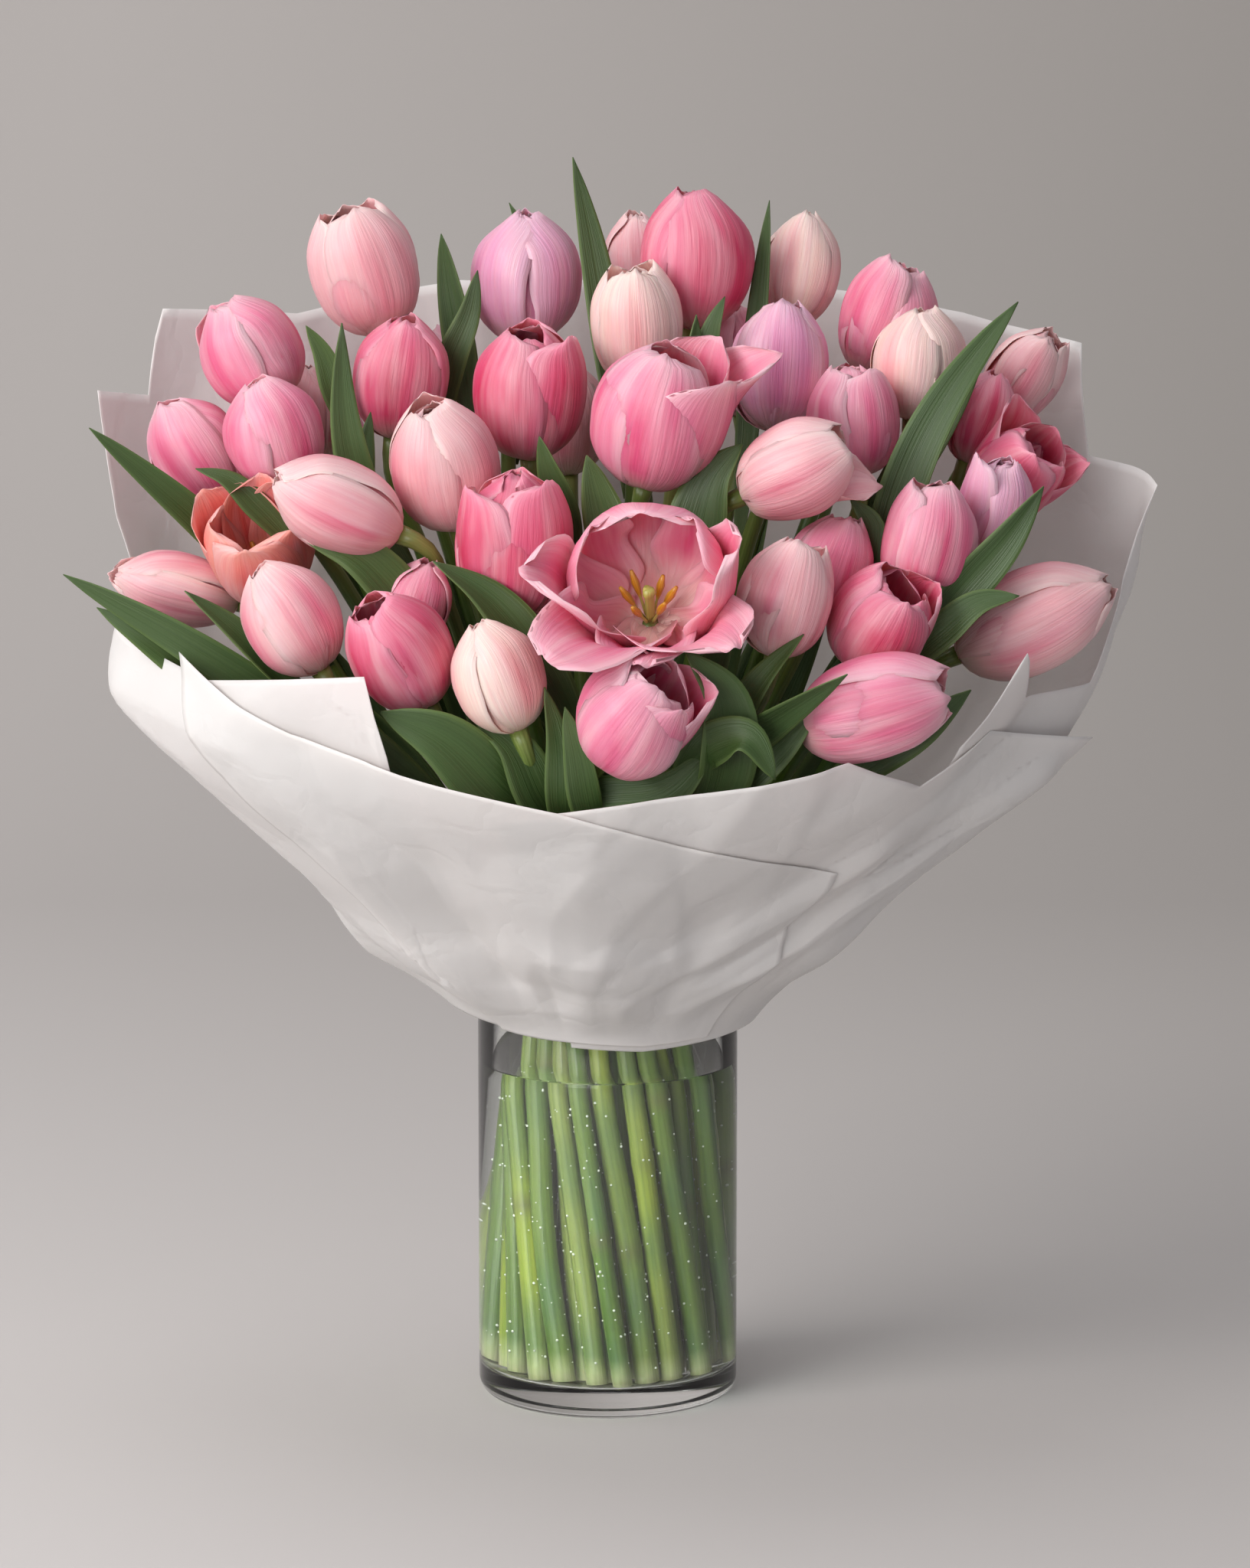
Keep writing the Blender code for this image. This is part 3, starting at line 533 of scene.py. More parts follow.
def petal_surface(tulip, shape, along, across, draw):
    """The points of a petal: its bow, the groove down its middle, waves, pleats and swells."""
    ruffle = BLOOMS[tulip.number][3]
    spin, opened, tall, wide_share, inner = shape
    tall = tulip.length * tall
    wide = tulip.radius * BLOOM_GROWTH
    closing = 1 - 0.6 * along ** 3 * np.clip(1 - 1.5 * opened, 0, 1)
    spread = opened * closing
    reach = smooth_through(CLOSED, along) * (1 - spread) + smooth_through(OPEN, along) * spread
    reach = reach * wide * (0.90 if inner else 1.0)
    half = smooth_through(PETAL_WIDTH, along) * wide * wide_share * (1 + 0.12 * max(opened, 0))
    cup = np.clip(1.0 - 0.3 * opened, 0.62, 1.0)
    bow = np.maximum(reach * cup, 0.3 * wide * along + 0.1 * wide)
    angle = across * half / bow
    rise = np.broadcast_to(tall * (along ** (1 + 0.25 * max(opened, 0))), angle.shape).copy()
    middle = np.sin(math.pi * along)
    groove = -0.55 * MM * np.exp(-(across / 0.10) ** 2) * middle
    waves = (ruffle * (0.6 + 1.0 * max(opened, 0)) * MM * np.abs(across) ** 3
             * np.sin(along * draw.uniform(9, 14) + across * 3 + draw.uniform(0, 6)))
    pleats = ruffle * 0.16 * MM * np.cos(across * 15 + draw.uniform(0, 6)) * middle * along
    swells = np.zeros_like(angle)
    for _ in range(4):
        swells += 0.28 * MM * np.sin(across * draw.uniform(1, 4) + along * draw.uniform(-6, 6)
                                     + draw.uniform(0, 6))
    overlap = (0.55 if inner else 0.8) * MM * across
    tip = (along ** 7) * (draw.uniform(-1.5, 1.5) + 3.0 * opened) * MM * (1 - across ** 2)
    out = reach - bow + bow * np.cos(angle) + groove + waves + pleats + swells * middle + overlap + tip
    sway = 0.9 * MM * np.sin(along * draw.uniform(3, 6) + draw.uniform(0, 6)) * along
    sideways = bow * np.sin(angle) + sway
    rise += -0.035 * tall * along ** 3 * across ** 2 + 0.4 * MM * np.sin(along * 8 + across * 5) * ruffle
    rise += 0.5 * MM * along ** 5 * np.sin(across * draw.uniform(5, 9) + draw.uniform(0, 6))
    turn = math.radians(spin)
    toward = math.cos(turn) * tulip.side + math.sin(turn) * tulip.over
    beside = -math.sin(turn) * tulip.side + math.cos(turn) * tulip.over
    return tulip.base + out[..., None] * toward + sideways[..., None] * beside + rise[..., None] * tulip.axis


def petal_tints(palette, inner, along, across, draw):
    """A petal's outer and inner colours: a flame up its middle, pale edges and a pale foot."""
    body, pale, flame, foot = (linear(color) for color in PALETTES[palette])
    flat = np.ones((PETAL_ROWS, PETAL_COLUMNS))
    middle = np.sin(math.pi * along)
    shift = draw.uniform(-0.2, 0.2)
    centre = draw.uniform(-0.2, 0.2)
    flame_share = (np.exp(-((across - centre) / 0.42) ** 2)
                   * np.sin(math.pi * np.clip(along * 0.9 + 0.05, 0, 1)) * 0.8)
    feather = 0.5 + 0.5 * np.sin(across * draw.uniform(8, 13) + along * 2.5 + draw.uniform(0, 6))
    edge_share = (np.abs(across) ** 5 * (0.55 + 0.4 * feather) + along ** 9 * 0.8) * np.clip(along * 4, 0, 1)
    flame_share = np.clip(flame_share + shift * middle, 0, 1) * (0.7 + 0.3 * feather)
    tint = mix(np.broadcast_to(body, (*flat.shape, 3)), flame, flame_share)
    tint = mix(tint, pale, np.clip(0.25 * (1 - feather) * middle + edge_share, 0, 0.95))
    foot_share = np.clip(1 - along / 0.26, 0, 1) ** 1.3 * (1 - 0.3 * np.abs(across))
    tint = mix(tint, foot, foot_share * 0.9)
    inside = mix(tint, flame, flat * 0.25)
    inside = mix(inside, foot, np.clip(1 - along / 0.4, 0, 1) * flat * 0.8)
    if inner:
        tint = mix(tint, body, flat * 0.3)
    return tint, inside


def petal(skin, tulip, place, shape, draw):
    """One petal of a bloom, whose shape is a row of petal_row."""
    along = np.linspace(0, 1, PETAL_ROWS)[:, None]
    across = np.linspace(-1, 1, PETAL_COLUMNS)[None]
    points = petal_surface(tulip, shape, along, across, draw)
    tints = petal_tints(BLOOMS[tulip.number][0], shape[-1], along, across, draw)
    thickness = PETAL_THICKNESS * np.clip(1 - 0.7 * np.abs(across) ** 3, 0.2, 1) * (1 - 0.6 * along ** 4)
    uvs = np.stack([np.broadcast_to(across * 0.5 + 0.5 + place * 1.7 + tulip.number, thickness.shape),
                    np.broadcast_to(along + place * 2.3, thickness.shape)], -1)
    skin.grid(points, uvs, tints, thickness)


def stamens(skin, tulip, draw):
    """Six stamens round a three-lobed pistil, seen in the open blooms."""
    heart = linear(PISTIL)
    pollen = linear(POLLEN)
    steps = np.linspace(0, 1, 9)[:, None]
    pistil = tulip.base + tulip.axis * (4 * MM + steps * 19 * MM)
    shape = np.interp(steps[:, 0], [0, 0.75, 0.85, 1], [2.0, 2.2, 3.2, 2.4]) * MM
    skin.tube(pistil, shape, np.repeat(heart[None], 9, 0), sides=12, kind=1,
              wobble=lambda turns: 1 + 0.16 * np.cos(3 * turns))
    for k in range(6):
        turn = math.radians(60 * k + draw.uniform(-9, 9))
        out = math.cos(turn) * tulip.side + math.sin(turn) * tulip.over
        reach = steps * draw.uniform(8, 11) * MM
        tall = draw.uniform(17, 21) * MM
        line = tulip.base + tulip.axis * (4 * MM + steps * tall) + out * (2.5 * MM + reach)
        shape = np.interp(steps[:, 0], [0, 0.45, 0.52, 0.75, 1], [0.9, 0.6, 1.5, 1.9, 0.8]) * MM
        color = np.where(steps > 0.48, pollen, heart)
        skin.tube(line, shape, color, sides=6, kind=1)


def build_tulip(tulip, materials):
    """A bloom on its stem, as one piece. Gives back the stem's line and radii."""
    draw = np.random.default_rng(100 + tulip.number)
    skin = Skin()
    for place, shape in enumerate(petal_row(tulip.number, draw)):
        petal(skin, tulip, place, shape, draw)
    if BLOOMS[tulip.number][1] > 0.5:
        stamens(skin, tulip, draw)
    foot, neck = tulip.line[:2]
    line = np.vstack([foot, (foot * 2 + neck) / 3, (foot + neck * 2) / 3,
                      tulip.line[1:-1], tulip.base + tulip.axis * 1.0 * MM])
    sway = np.array([[draw.normal(0, 0.9), draw.normal(0, 0.9), 0] for _ in range(2)]) * MM
    line[1:3] += sway
    line = resample(line, STEM_ROWS)
    share = np.linspace(0, 1, STEM_ROWS)
    radii = np.interp(share, [0, 0.5, 0.9, 0.97, 1], [4.7, 4.2, 3.5, 3.6, 4.6]) * MM
    radii *= 1 + draw.uniform(-0.10, 0.16) * (1 - share)
    knot = draw.uniform(0.16, 0.38)
    radii = radii * (1 + 0.12 * np.exp(-((share - knot) / 0.012) ** 2))
    green, pale = linear(STEM_GREEN), linear(STEM_PALE)
    lightness = draw.choice([0.0, 0.1, 0.25, 0.5, 0.95], p=[0.25, 0.25, 0.2, 0.2, 0.1])
    tints = mix(np.broadcast_to(green, (STEM_ROWS, 3)), pale, np.full(STEM_ROWS, lightness))
    yellow = draw.uniform(0.05, 0.45)
    patch = 0.7 * np.exp(-((share - yellow) / 0.10) ** 2) * draw.integers(0, 2)
    tints = mix(tints, linear(STEM_YELLOW), patch)
    tints = mix(tints, linear(STEM_BLUE), 0.6 * np.clip(np.sin(share * 30 + draw.uniform(0, 6)), 0, 1))
    tints = mix(tints, linear(STEM_FOOT), np.clip(1 - share / 0.03, 0, 1))
    tints = mix(tints, linear(STEM_KNOT), 0.7 * np.exp(-((share - knot) / 0.006) ** 2))
    tints = mix(tints, linear(STEM_TOP), np.clip((share - 0.85) / 0.15, 0, 1) * 0.5)
    skin.tube(line, radii, tints, sides=12, kind=1)
    item = skin.build(f"{tulip.name}_bloom", materials)
    finish_piece(item, "petal_" + BLOOMS[tulip.number][0], tulip.name)
    return line, radii


# ---------------------------------------------------------------- leaves

# Leaves between the stems that have no solid: points from root to tip in millimetres (across,
# behind, up), the width, and how pale the leaf is
FILL_LEAVES = [
    ([(-60, 20, 440), (-67, 24, 483), (-72, 25, 512), (-76, 25, 538)], 15, 0.1),
    ([(-78, 10, 440), (-71, 8, 483), (-63, 8, 503), (-59, 8, 523)], 14, 0.0),
    ([(42, -25, 440), (44, -30, 484), (47, -30, 500), (53, -30, 515)], 13, 0.2),
    ([(36, -28, 440), (38, -32, 479), (39, -32, 493), (40, -32, 507)], 11, 0.1),
    ([(-108, -40, 400), (-110, -48, 431), (-108, -48, 451), (-106, -48, 465)], 11, 0.2),
    ([(-110, -20, 440), (-124, -22, 473), (-129, -22, 489), (-136, -22, 501)], 13, 0.7),
    ([(-135, -60, 400), (-156, -62, 423), (-170, -62, 436), (-184, -62, 441)], 13, 0.3),
    ([(-120, -112, 330), (-143, -118, 354), (-164, -118, 376), (-186, -118, 394)], 15, 0.1),
    ([(-66, -104, 350), (-90, -110, 388), (-112, -112, 410), (-133, -112, 416)], 24, 0.6),
    ([(-10, -128, 325), (-27, -138, 360), (-54, -138, 395), (-76, -138, 410)], 22, 0.1),
    ([(110, -28, 400), (133, -32, 433), (154, -32, 468), (172, -32, 500)], 20, 0.2),
    ([(128, -92, 350), (152, -98, 384), (177, -98, 414), (193, -98, 438)], 19, 0.1),
    ([(120, -106, 350), (148, -112, 375), (165, -112, 388), (182, -112, 391)], 16, 0.3),
    ([(30, -140, 305), (50, -152, 335), (69, -152, 362), (86, -152, 380)], 15, 0.6),
    ([(40, -150, 290), (52, -170, 326), (50, -174, 356), (34, -176, 376)], 26, 0.3),
    ([(28, -160, 310), (46, -178, 336), (60, -186, 340), (73, -188, 322)], 20, 0.2),
    ([(-20, -140, 285), (-46, -164, 310), (-73, -172, 338), (-98, -172, 349)], 30, 0.3),
    ([(-10, -140, 280), (-29, -162, 308), (-42, -166, 334), (-58, -166, 345)], 22, 0.1),
    ([(-16, -150, 285), (-20, -170, 307), (-21, -172, 335), (-27, -172, 360)], 14, 0.4),
    ([(-2, -152, 285), (-9, -172, 308), (-13, -176, 332), (-18, -176, 352)], 15, 0.2),
    ([(-30, -140, 285), (-6, -166, 306), (24, -172, 312), (46, -172, 332)], 24, 0.2),
    ([(10, -84, 370), (4, -92, 406), (-3, -92, 430), (-9, -92, 451)], 22, 0.5),
    ([(34, -84, 370), (39, -92, 416), (47, -92, 441), (60, -92, 456)], 28, 0.0),
    ([(30, -120, 315), (40, -130, 349), (49, -132, 367), (55, -133, 382)], 16, 0.3),
    ([(40, -145, 290), (59, -158, 319), (77, -160, 336), (92, -160, 351)], 24, 0.2),
    ([(-14, -74, 390), (-21, -80, 429), (-26, -80, 443), (-30, -80, 458)], 15, 0.3),
    ([(108, -76, 360), (114, -80, 400), (117, -80, 418), (108, -80, 430)], 18, 0.1),
    ([(-150, -60, 330), (-180, -96, 352), (-206, -104, 372), (-226, -100, 384)], 16, 0.4),
    ([(90, -120, 300), (116, -134, 322), (140, -136, 338), (160, -130, 352)], 20, 0.1),
    ([(-70, -140, 300), (-98, -150, 322), (-118, -150, 340), (-134, -146, 352)], 22, 0.1),
]
LEAF_ROWS = 30
LEAF_COLUMNS = 9
LEAF_WIDTHS = {"leaf_top": 16, "leaf_top_left": 13, "leaf_top_right": 12, "leaf_left": 18,
               "leaf_far_left": 16, "leaf_low_left": 17, "leaf_right": 21, "leaf_front": 19}
# Half width of a leaf from root to tip, as a share of its widest
BLADE = [(0, 0.30), (0.12, 0.55), (0.3, 0.86), (0.48, 1.0), (0.66, 0.9), (0.82, 0.62), (0.93, 0.32),
         (1.0, 0.03)]
LEAF_THICKNESS = 0.7 * MM


def blade(skin, points, width, pale, draw, facing=(0.1, -0.9, 0.35)):
    """A long leaf, folded along its middle, that turns a little towards its tip."""
    line = resample(points, LEAF_ROWS)
    ahead = unit(np.gradient(line, axis=0))
    along = np.linspace(0, 1, LEAF_ROWS)
    across = np.linspace(-1, 1, LEAF_COLUMNS)
    front = np.array(facing) + draw.normal(0, 0.18, 3)
    front = unit(front - ahead * (ahead @ front)[:, None])
    beside = np.cross(ahead, front)
    twist = (draw.uniform(-0.5, 0.5) * along ** 2)[:, None]
    turned_front = front * np.cos(twist) + beside * np.sin(twist)
    beside = beside * np.cos(twist) - front * np.sin(twist)
    front = turned_front
    half = smooth_through(BLADE, along) * width / 2
    fold = draw.uniform(0.25, 0.5) * (1 - 0.5 * along)
    wave = 0.10 * np.sin(along[:, None] * draw.uniform(7, 11) + across * 1.5) * np.abs(across) ** 2
    lift = half[:, None] * (fold[:, None] * np.abs(across) ** 1.4 + wave)
    surface = (line[:, None] + beside[:, None] * (half[:, None] * across)[..., None]
               + front[:, None] * lift[..., None])
    green, light = linear(LEAF_GREEN), linear(LEAF_PALE)
    row = np.ones(LEAF_COLUMNS)
    share = np.clip(pale + 0.10 * np.sin(along * 5 + draw.uniform(0, 6)), 0, 1)[:, None] * row
    tint = mix(np.broadcast_to(green, (LEAF_ROWS, LEAF_COLUMNS, 3)), light, share)
    edge = np.clip(np.abs(across) - 0.86, 0, 1)[None] * 4 * np.ones((LEAF_ROWS, 1))
    tint = mix(tint, linear(LEAF_EDGE), np.clip(edge, 0, 0.6))
    tint = mix(tint, linear(LEAF_FOOT), np.clip(1 - along / 0.2, 0, 1)[:, None] * row * 0.5)
    back = mix(tint, linear(LEAF_BACK), np.full(tint.shape[:2], 0.45))
    uvs = np.stack([np.broadcast_to(across[None] * 0.5 + draw.uniform(0, 9), tint.shape[:2]),
                    np.broadcast_to(along[:, None], tint.shape[:2])], -1)
    thickness = np.full(tint.shape[:2], LEAF_THICKNESS) * (1 - 0.5 * np.abs(across) ** 2)
    skin.grid(surface[:, ::-1], uvs[:, ::-1], (tint[:, ::-1], back[:, ::-1]), thickness)


def build_leaves(material, tulips):
    for name, width in LEAF_WIDTHS.items():
        draw = np.random.default_rng(sum(map(ord, name)))
        line = np.array([ring.mean(0) for ring in read_rings(name, LEAF_SIDES)])
        skin = Skin()
        blade(skin, line, width * MM, 0.15, draw)
        finish_piece(skin.build(f"{name}_blade", [material]), "leaf", name)
    draw = np.random.default_rng(5)
    skin = Skin()
    for points, width, pale in FILL_LEAVES:
        blade(skin, np.array(points) * MM, width * MM, pale, draw)
    finish_piece(skin.build("leaves_between_blooms", [material]), "leaf")
    skin = Skin()
    for tulip in tulips:
        stem = resample(tulip.line[1:], 20)
        first, last = draw.integers(3, 6), draw.integers(14, 17)
        middle = stem[first:last:3].copy()
        outward = unit(middle[-1] * (1, 1, 0) - middle[0] * (1, 1, 0))
        lift = np.linspace(0, 1, len(middle))[:, None] ** 1.3
        middle += (outward * draw.uniform(2, 12) + np.array([0, 0, draw.uniform(4, 14)])) * MM * lift
        blade(skin, middle, draw.uniform(16, 26) * MM, draw.uniform(0, 0.5), draw)
    finish_piece(skin.build("leaves_among_stems", [material]), "leaf")


# ---------------------------------------------------------------- paper

# The cone and the sheets as their solids have them, in millimetres and degrees
CONE_UP = [174, 182, 200, 214, 225, 240, 271, 304, 337, 366, 420, 469, 520]
CONE_OUT = [60.8, 66, 84, 103, 115, 128, 162, 195, 213, 218, 226, 233, 238]
CONE_FRONT = 0.91
CONE_BACK = 0.40
LAYER = 2.0
SHEETS = {
    "paper_back_left": (0, 182, [
        (-98, -92, 468, 0), (-106, -103, 461, 0), (-109, -106, 500, 2), (-123, -123, 494, 0),
        (-150, -150, 507, 0), (-200, -200, 504, 0)]),
    "paper_back_right": (1, 182, [
        (52, 50, 326, 0), (60, 58, 366, 4), (64, 64, 342, 0), (78, 78, 342, 0),
        (85, 85, 386, 5), (89, 89, 426, 20), (100, 100, 434, 4), (103, 103, 485, 8),
        (116, 116, 496, 0), (150, 150, 507, 0), (185, 185, 505, 0)]),
    "paper_left": (1, 180, [
        (-30, -28, 330, 0), (-33, -30, 366, 0), (-54, -54, 356, 0), (-81, -81, 376, 0),
        (-104, -104, 345, 0)]),
    "paper_right": (2, 175, [
        (-14, -14, 305, 0), (12, 12, 317, 0), (31, 31, 327, 0), (36, 36, 320, 0), (45, 45, 310, 0),
        (56, 56, 331, 0), (82, 82, 314, 12), (92, 92, 262, 0)]),
    "paper_front": (3, 178, [
        (-40, -58, 367, 0), (-34, -41, 337, 0), (-24, -26, 323, 0), (-6, -6, 309, 0),
        (10, 10, 291, 0), (23, 23, 280, 0), (40, 40, 268, 0)]),
}
PAPER_ROWS = 72
PAPER_STEP = 1.0

# Creases: how far the paper stands out along them and how far that reaches, in millimetres, and
# their way up the cone as (angle, height)
CREASES = [
    (7.0, 34, [(-70, 345), (-48, 327), (-42, 283), (-47, 228), (-40, 200)]),
    (5.5, 30, [(-18, 330), (-1, 299), (-3, 277), (-10, 251), (-12, 221), (4, 200)]),
    (-5.0, 22, [(-40, 330), (-38, 301), (-31, 276), (-32, 250), (-26, 219), (-14, 200)]),
    (5.0, 16, [(4, 203), (24, 227), (38, 249), (46, 275)]),
    (-4.5, 14, [(-14, 209), (10, 208), (28, 222), (48, 252), (62, 280)]),
    (4.0, 12, [(-40, 198), (-14, 197), (23, 196), (44, 228), (58, 262), (70, 300)]),
    (6.0, 30, [(-76, 350), (-60, 316), (-60, 259), (-80, 205)]),
    (-4.0, 24, [(-92, 380), (-78, 320), (-70, 240), (-66, 200)]),
    (5.0, 28, [(-112, 480), (-104, 400), (-98, 300), (-100, 200)]),
    (4.5, 26, [(20, 330), (15, 290), (2, 250), (-4, 205)]),
    (-5.0, 24, [(66, 340), (52, 300), (34, 262), (24, 240)]),
    (5.0, 26, [(96, 430), (84, 360), (72, 290), (60, 220)]),
    (-4.0, 30, [(112, 490), (106, 400), (98, 300), (84, 210)]),
    (6.0, 40, [(135, 500), (138, 380), (130, 280), (120, 200)]),
    (-5.0, 36, [(156, 500), (150, 380), (152, 280), (148, 200)]),
    (6.0, 40, [(178, 500), (176, 380), (180, 280), (176, 200)]),
    (-5.0, 36, [(-160, 500), (-164, 380), (-158, 280), (-160, 200)]),
    (6.0, 40, [(-136, 500), (-140, 380), (-132, 280), (-138, 200)]),
]
CREASE_HEIGHT = 1.5
CREASE_REACH = 1.25
FACETS = 60
HEM_LIFT = 7.0              # how much higher the hem is at the sides than at its lowest place
HEM_LOWEST = 14             # where that is, in degrees to the right of the front
PAPER_THICKNESS = 0.30
RIM_CLEARANCE = 61.2        # no sheet comes nearer to the middle, so that all pass outside of the glass


def cone_radius(angle, height):
    turn = np.radians(angle)
    reach = np.where(np.cos(turn) > 0, CONE_FRONT, CONE_BACK)
    share = 1 / np.sqrt(np.sin(turn) ** 2 + (np.cos(turn) / reach) ** 2)
    profile = smooth_through(np.stack([CONE_UP, CONE_OUT], 1), height)
    return CONE_OUT[0] + (profile - CONE_OUT[0]) * share


def crumple(angle, height):
    """How far the paper stands out or in, in millimetres: long creases, facets and small gathers."""
    scale = np.array([math.radians(1) * 165, 1.0])
    spot = np.stack([angle, height], -1) * scale
    total = np.zeros(np.broadcast(angle, height).shape)
    for out, reach, way in CREASES:
        way = np.array(way, float) * scale
        near = np.full(total.shape, np.inf)
        for one, two in zip(way[:-1], way[1:]):
            run = two - one
            share = np.clip(((spot - one) @ run) / (run @ run), 0, 1)
            near = np.minimum(near, np.linalg.norm(spot - one - share[..., None] * run, axis=-1))
        total += CREASE_HEIGHT * out * np.maximum(0, 1 - near / (CREASE_REACH * reach))
    draw = np.random.default_rng(11)
    spots = np.stack([draw.uniform(-200, 200, FACETS), draw.uniform(180, 520, FACETS)], -1) * scale
    slopes = draw.normal(0, 0.055, (FACETS, 2)) * (1.0, 0.6)
    distance = np.linalg.norm((spot[..., None, :] - spots) * (1.0, 0.7), axis=-1)
    order = np.argsort(distance, axis=-1)[..., :3]
    near = np.take_along_axis(distance, order, -1)
    weight = 1 / (near + 1.0) ** 9
    weight = weight / weight.sum(-1, keepdims=True)
    tilt = ((spot[..., None, :] - spots[order]) * slopes[order]).sum(-1)
    total += np.clip((tilt * weight).sum(-1), -4, 4)
    turn = np.radians(angle)
    gathers = np.abs(np.sin(turn * 9 + 1.1 * np.sin(turn * 3))) - 0.5
    near_neck = np.clip(1 - np.abs(height - 206) / 34, 0, 1)
    return total * np.clip((height - 184) / 30, 0, 1) + 0.9 * gathers * near_neck


def build_sheet(name, layer, foot, edge, material):
    edge = sorted(edge, key=lambda column: column[1])
    low, top, height, push = (np.array([column[k] for column in edge], float) for k in range(4))
    marks = np.unique(np.concatenate([np.arange(top[0], top[-1], PAPER_STEP), top]))
    marks = marks[np.concatenate([[True], np.diff(marks) > 0.15])]
    share = np.linspace(0, 1, PAPER_ROWS)[:, None] ** 1.2
    at_foot, reach, out = (np.interp(marks, top, values)[None] for values in (low, height, push))
    angle = at_foot + (marks[None] - at_foot) * share
    hem = foot + HEM_LIFT * np.minimum(np.abs(marks[None] - HEM_LOWEST) / 90, 1)
    up = hem + (reach - hem) * share
    radius = cone_radius(angle, up) + layer * LAYER + out * share ** 4 + 0.8 + crumple(angle, up)
    radius = np.maximum(radius, RIM_CLEARANCE + layer * 0.9)
    turn = np.radians(angle)
    points = np.stack([radius * np.sin(turn), -radius * np.cos(turn), up], -1) * MM
    tint = np.ones(points.shape)
    uvs = np.stack([angle / 100, up / 100], -1)
    skin = Skin()
    skin.grid(points, uvs, (tint, tint), np.full(up.shape, PAPER_THICKNESS * MM))
    item = skin.build(f"{name}_sheet", [material])
    finish_piece(item, "paper", name)


# ---------------------------------------------------------------- vase and water

VASE_SIDES = 128
AXIS_RING = 0.02 * MM
WALL = 4                    # the glass's thickness, in millimetres
FOOT_ROUND = 9
FLOOR_ROUND = 7
LIP = 2
GLASS_COLOR = (0.97, 0.985, 0.98)
WATER_COLOR = (0.985, 0.995, 0.99)
# Air bubbles on the stems under water: how many for each square metre, and their radii in metres
BUBBLES = {"Per square metre": 11000.0, "Smallest": 0.22 * MM, "Largest": 0.70 * MM, "Seed": 4}


def turned(name, outline, material, sides=VASE_SIDES):
    """Turns a closed outline of (radius, height) round Z. Points on the axis get a small ring."""
    outline = np.array(outline, float) * MM
    turns = np.linspace(0, math.tau, sides, endpoint=False)
    radius = np.maximum(outline[:, 0], AXIS_RING)
    rings = np.stack([radius[:, None] * np.cos(turns), radius[:, None] * np.sin(turns),
                      np.repeat(outline[:, 1:], sides, 1)], -1)
    rows = len(outline)
    quads = tube_faces(np.arange(rows * sides).reshape(rows, sides))
    skin = Skin()
    points = rings.reshape(-1, 3)
    skin.add(points, quads, points[:, :2] * 10, np.ones((len(points), 3)))
    return skin.build(name, [material])


def arc(centre, radius, start, end, count):
    turns = np.radians(np.linspace(start, end, count))
    return [(centre[0] + radius * math.cos(turn), centre[1] + radius * math.sin(turn)) for turn in turns]


def build_vase(glass, water_material):
    _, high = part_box(VASE_NODE)
    water_low, water_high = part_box(WATER_NODE)
    outer, tall = high.x / MM, high.z / MM
    inner = outer - WALL
    floor = water_low.z / MM - 0.3
    outline = [(0, 1.2), (outer - 16, 1.0), (outer - 12, 0.2), (outer - 10, 0)]
    outline += arc((outer - FOOT_ROUND, FOOT_ROUND), FOOT_ROUND, -90, 0, 10)[1:]
    outline += [(outer, 40), (outer, tall - LIP)] + arc((outer - LIP, tall - LIP), LIP, 0, 180, 9)[1:]
    outline += [(inner, 60)] + arc((inner - FLOOR_ROUND, floor + FLOOR_ROUND), FLOOR_ROUND, 0, -90, 8)
    outline += [(inner - 20, floor - 0.3), (0, floor - 0.6)]
    vase = turned("vase_glass", outline, glass)
    finish_piece(vase, "glass", VASE_NODE)
    level = water_high.z / MM
    wet = inner + 0.04
    outline = [(0, floor - 0.65), (inner - 20, floor - 0.35)]
    outline += arc((inner - FLOOR_ROUND, floor + FLOOR_ROUND), FLOOR_ROUND + 0.04, -90, 0, 8)
    outline += [(wet, level - 4), (wet, level + 1.2), (wet - 0.1, level + 1.5), (wet - 0.6, level + 0.8)]
    outline += [(wet - 1.6, level + 0.25), (wet - 3.5, level), (0, level)]
    water = turned("water_body", outline, water_material)
    finish_piece(water, "water", WATER_NODE)


def bubble_material():
    """Air in the water, half clear and a little uneven. Its pale, nearly white colour is a painted highlight
    for the bright glint of air under water.
    """
    material = bpy.data.materials.new("air_bubble")
    tree, shader = nodes_of(material)
    place, noise = tree.nodes.new("ShaderNodeTexCoord"), tree.nodes.new("ShaderNodeTexNoise")
    noise.inputs["Scale"].default_value = 900.0
    # painted highlight: the bubbles' colour is set pale so that they shine like glints
    shade = tree.nodes.new("ShaderNodeValToRGB")
    for element, color in zip(shade.color_ramp.elements, BUBBLE_PAINTED_GLINT):
        element.color = (*linear(color), 1)
    link(tree, place.outputs["Object"], noise.inputs["Vector"])
    link(tree, noise.outputs["Fac"], shade.inputs["Fac"])
    link(tree, shade.outputs["Color"], shader.inputs["Base Color"])
    shader.inputs["Roughness"].default_value = 0.08
    shader.inputs["Transmission Weight"].default_value = 0.2
    return material


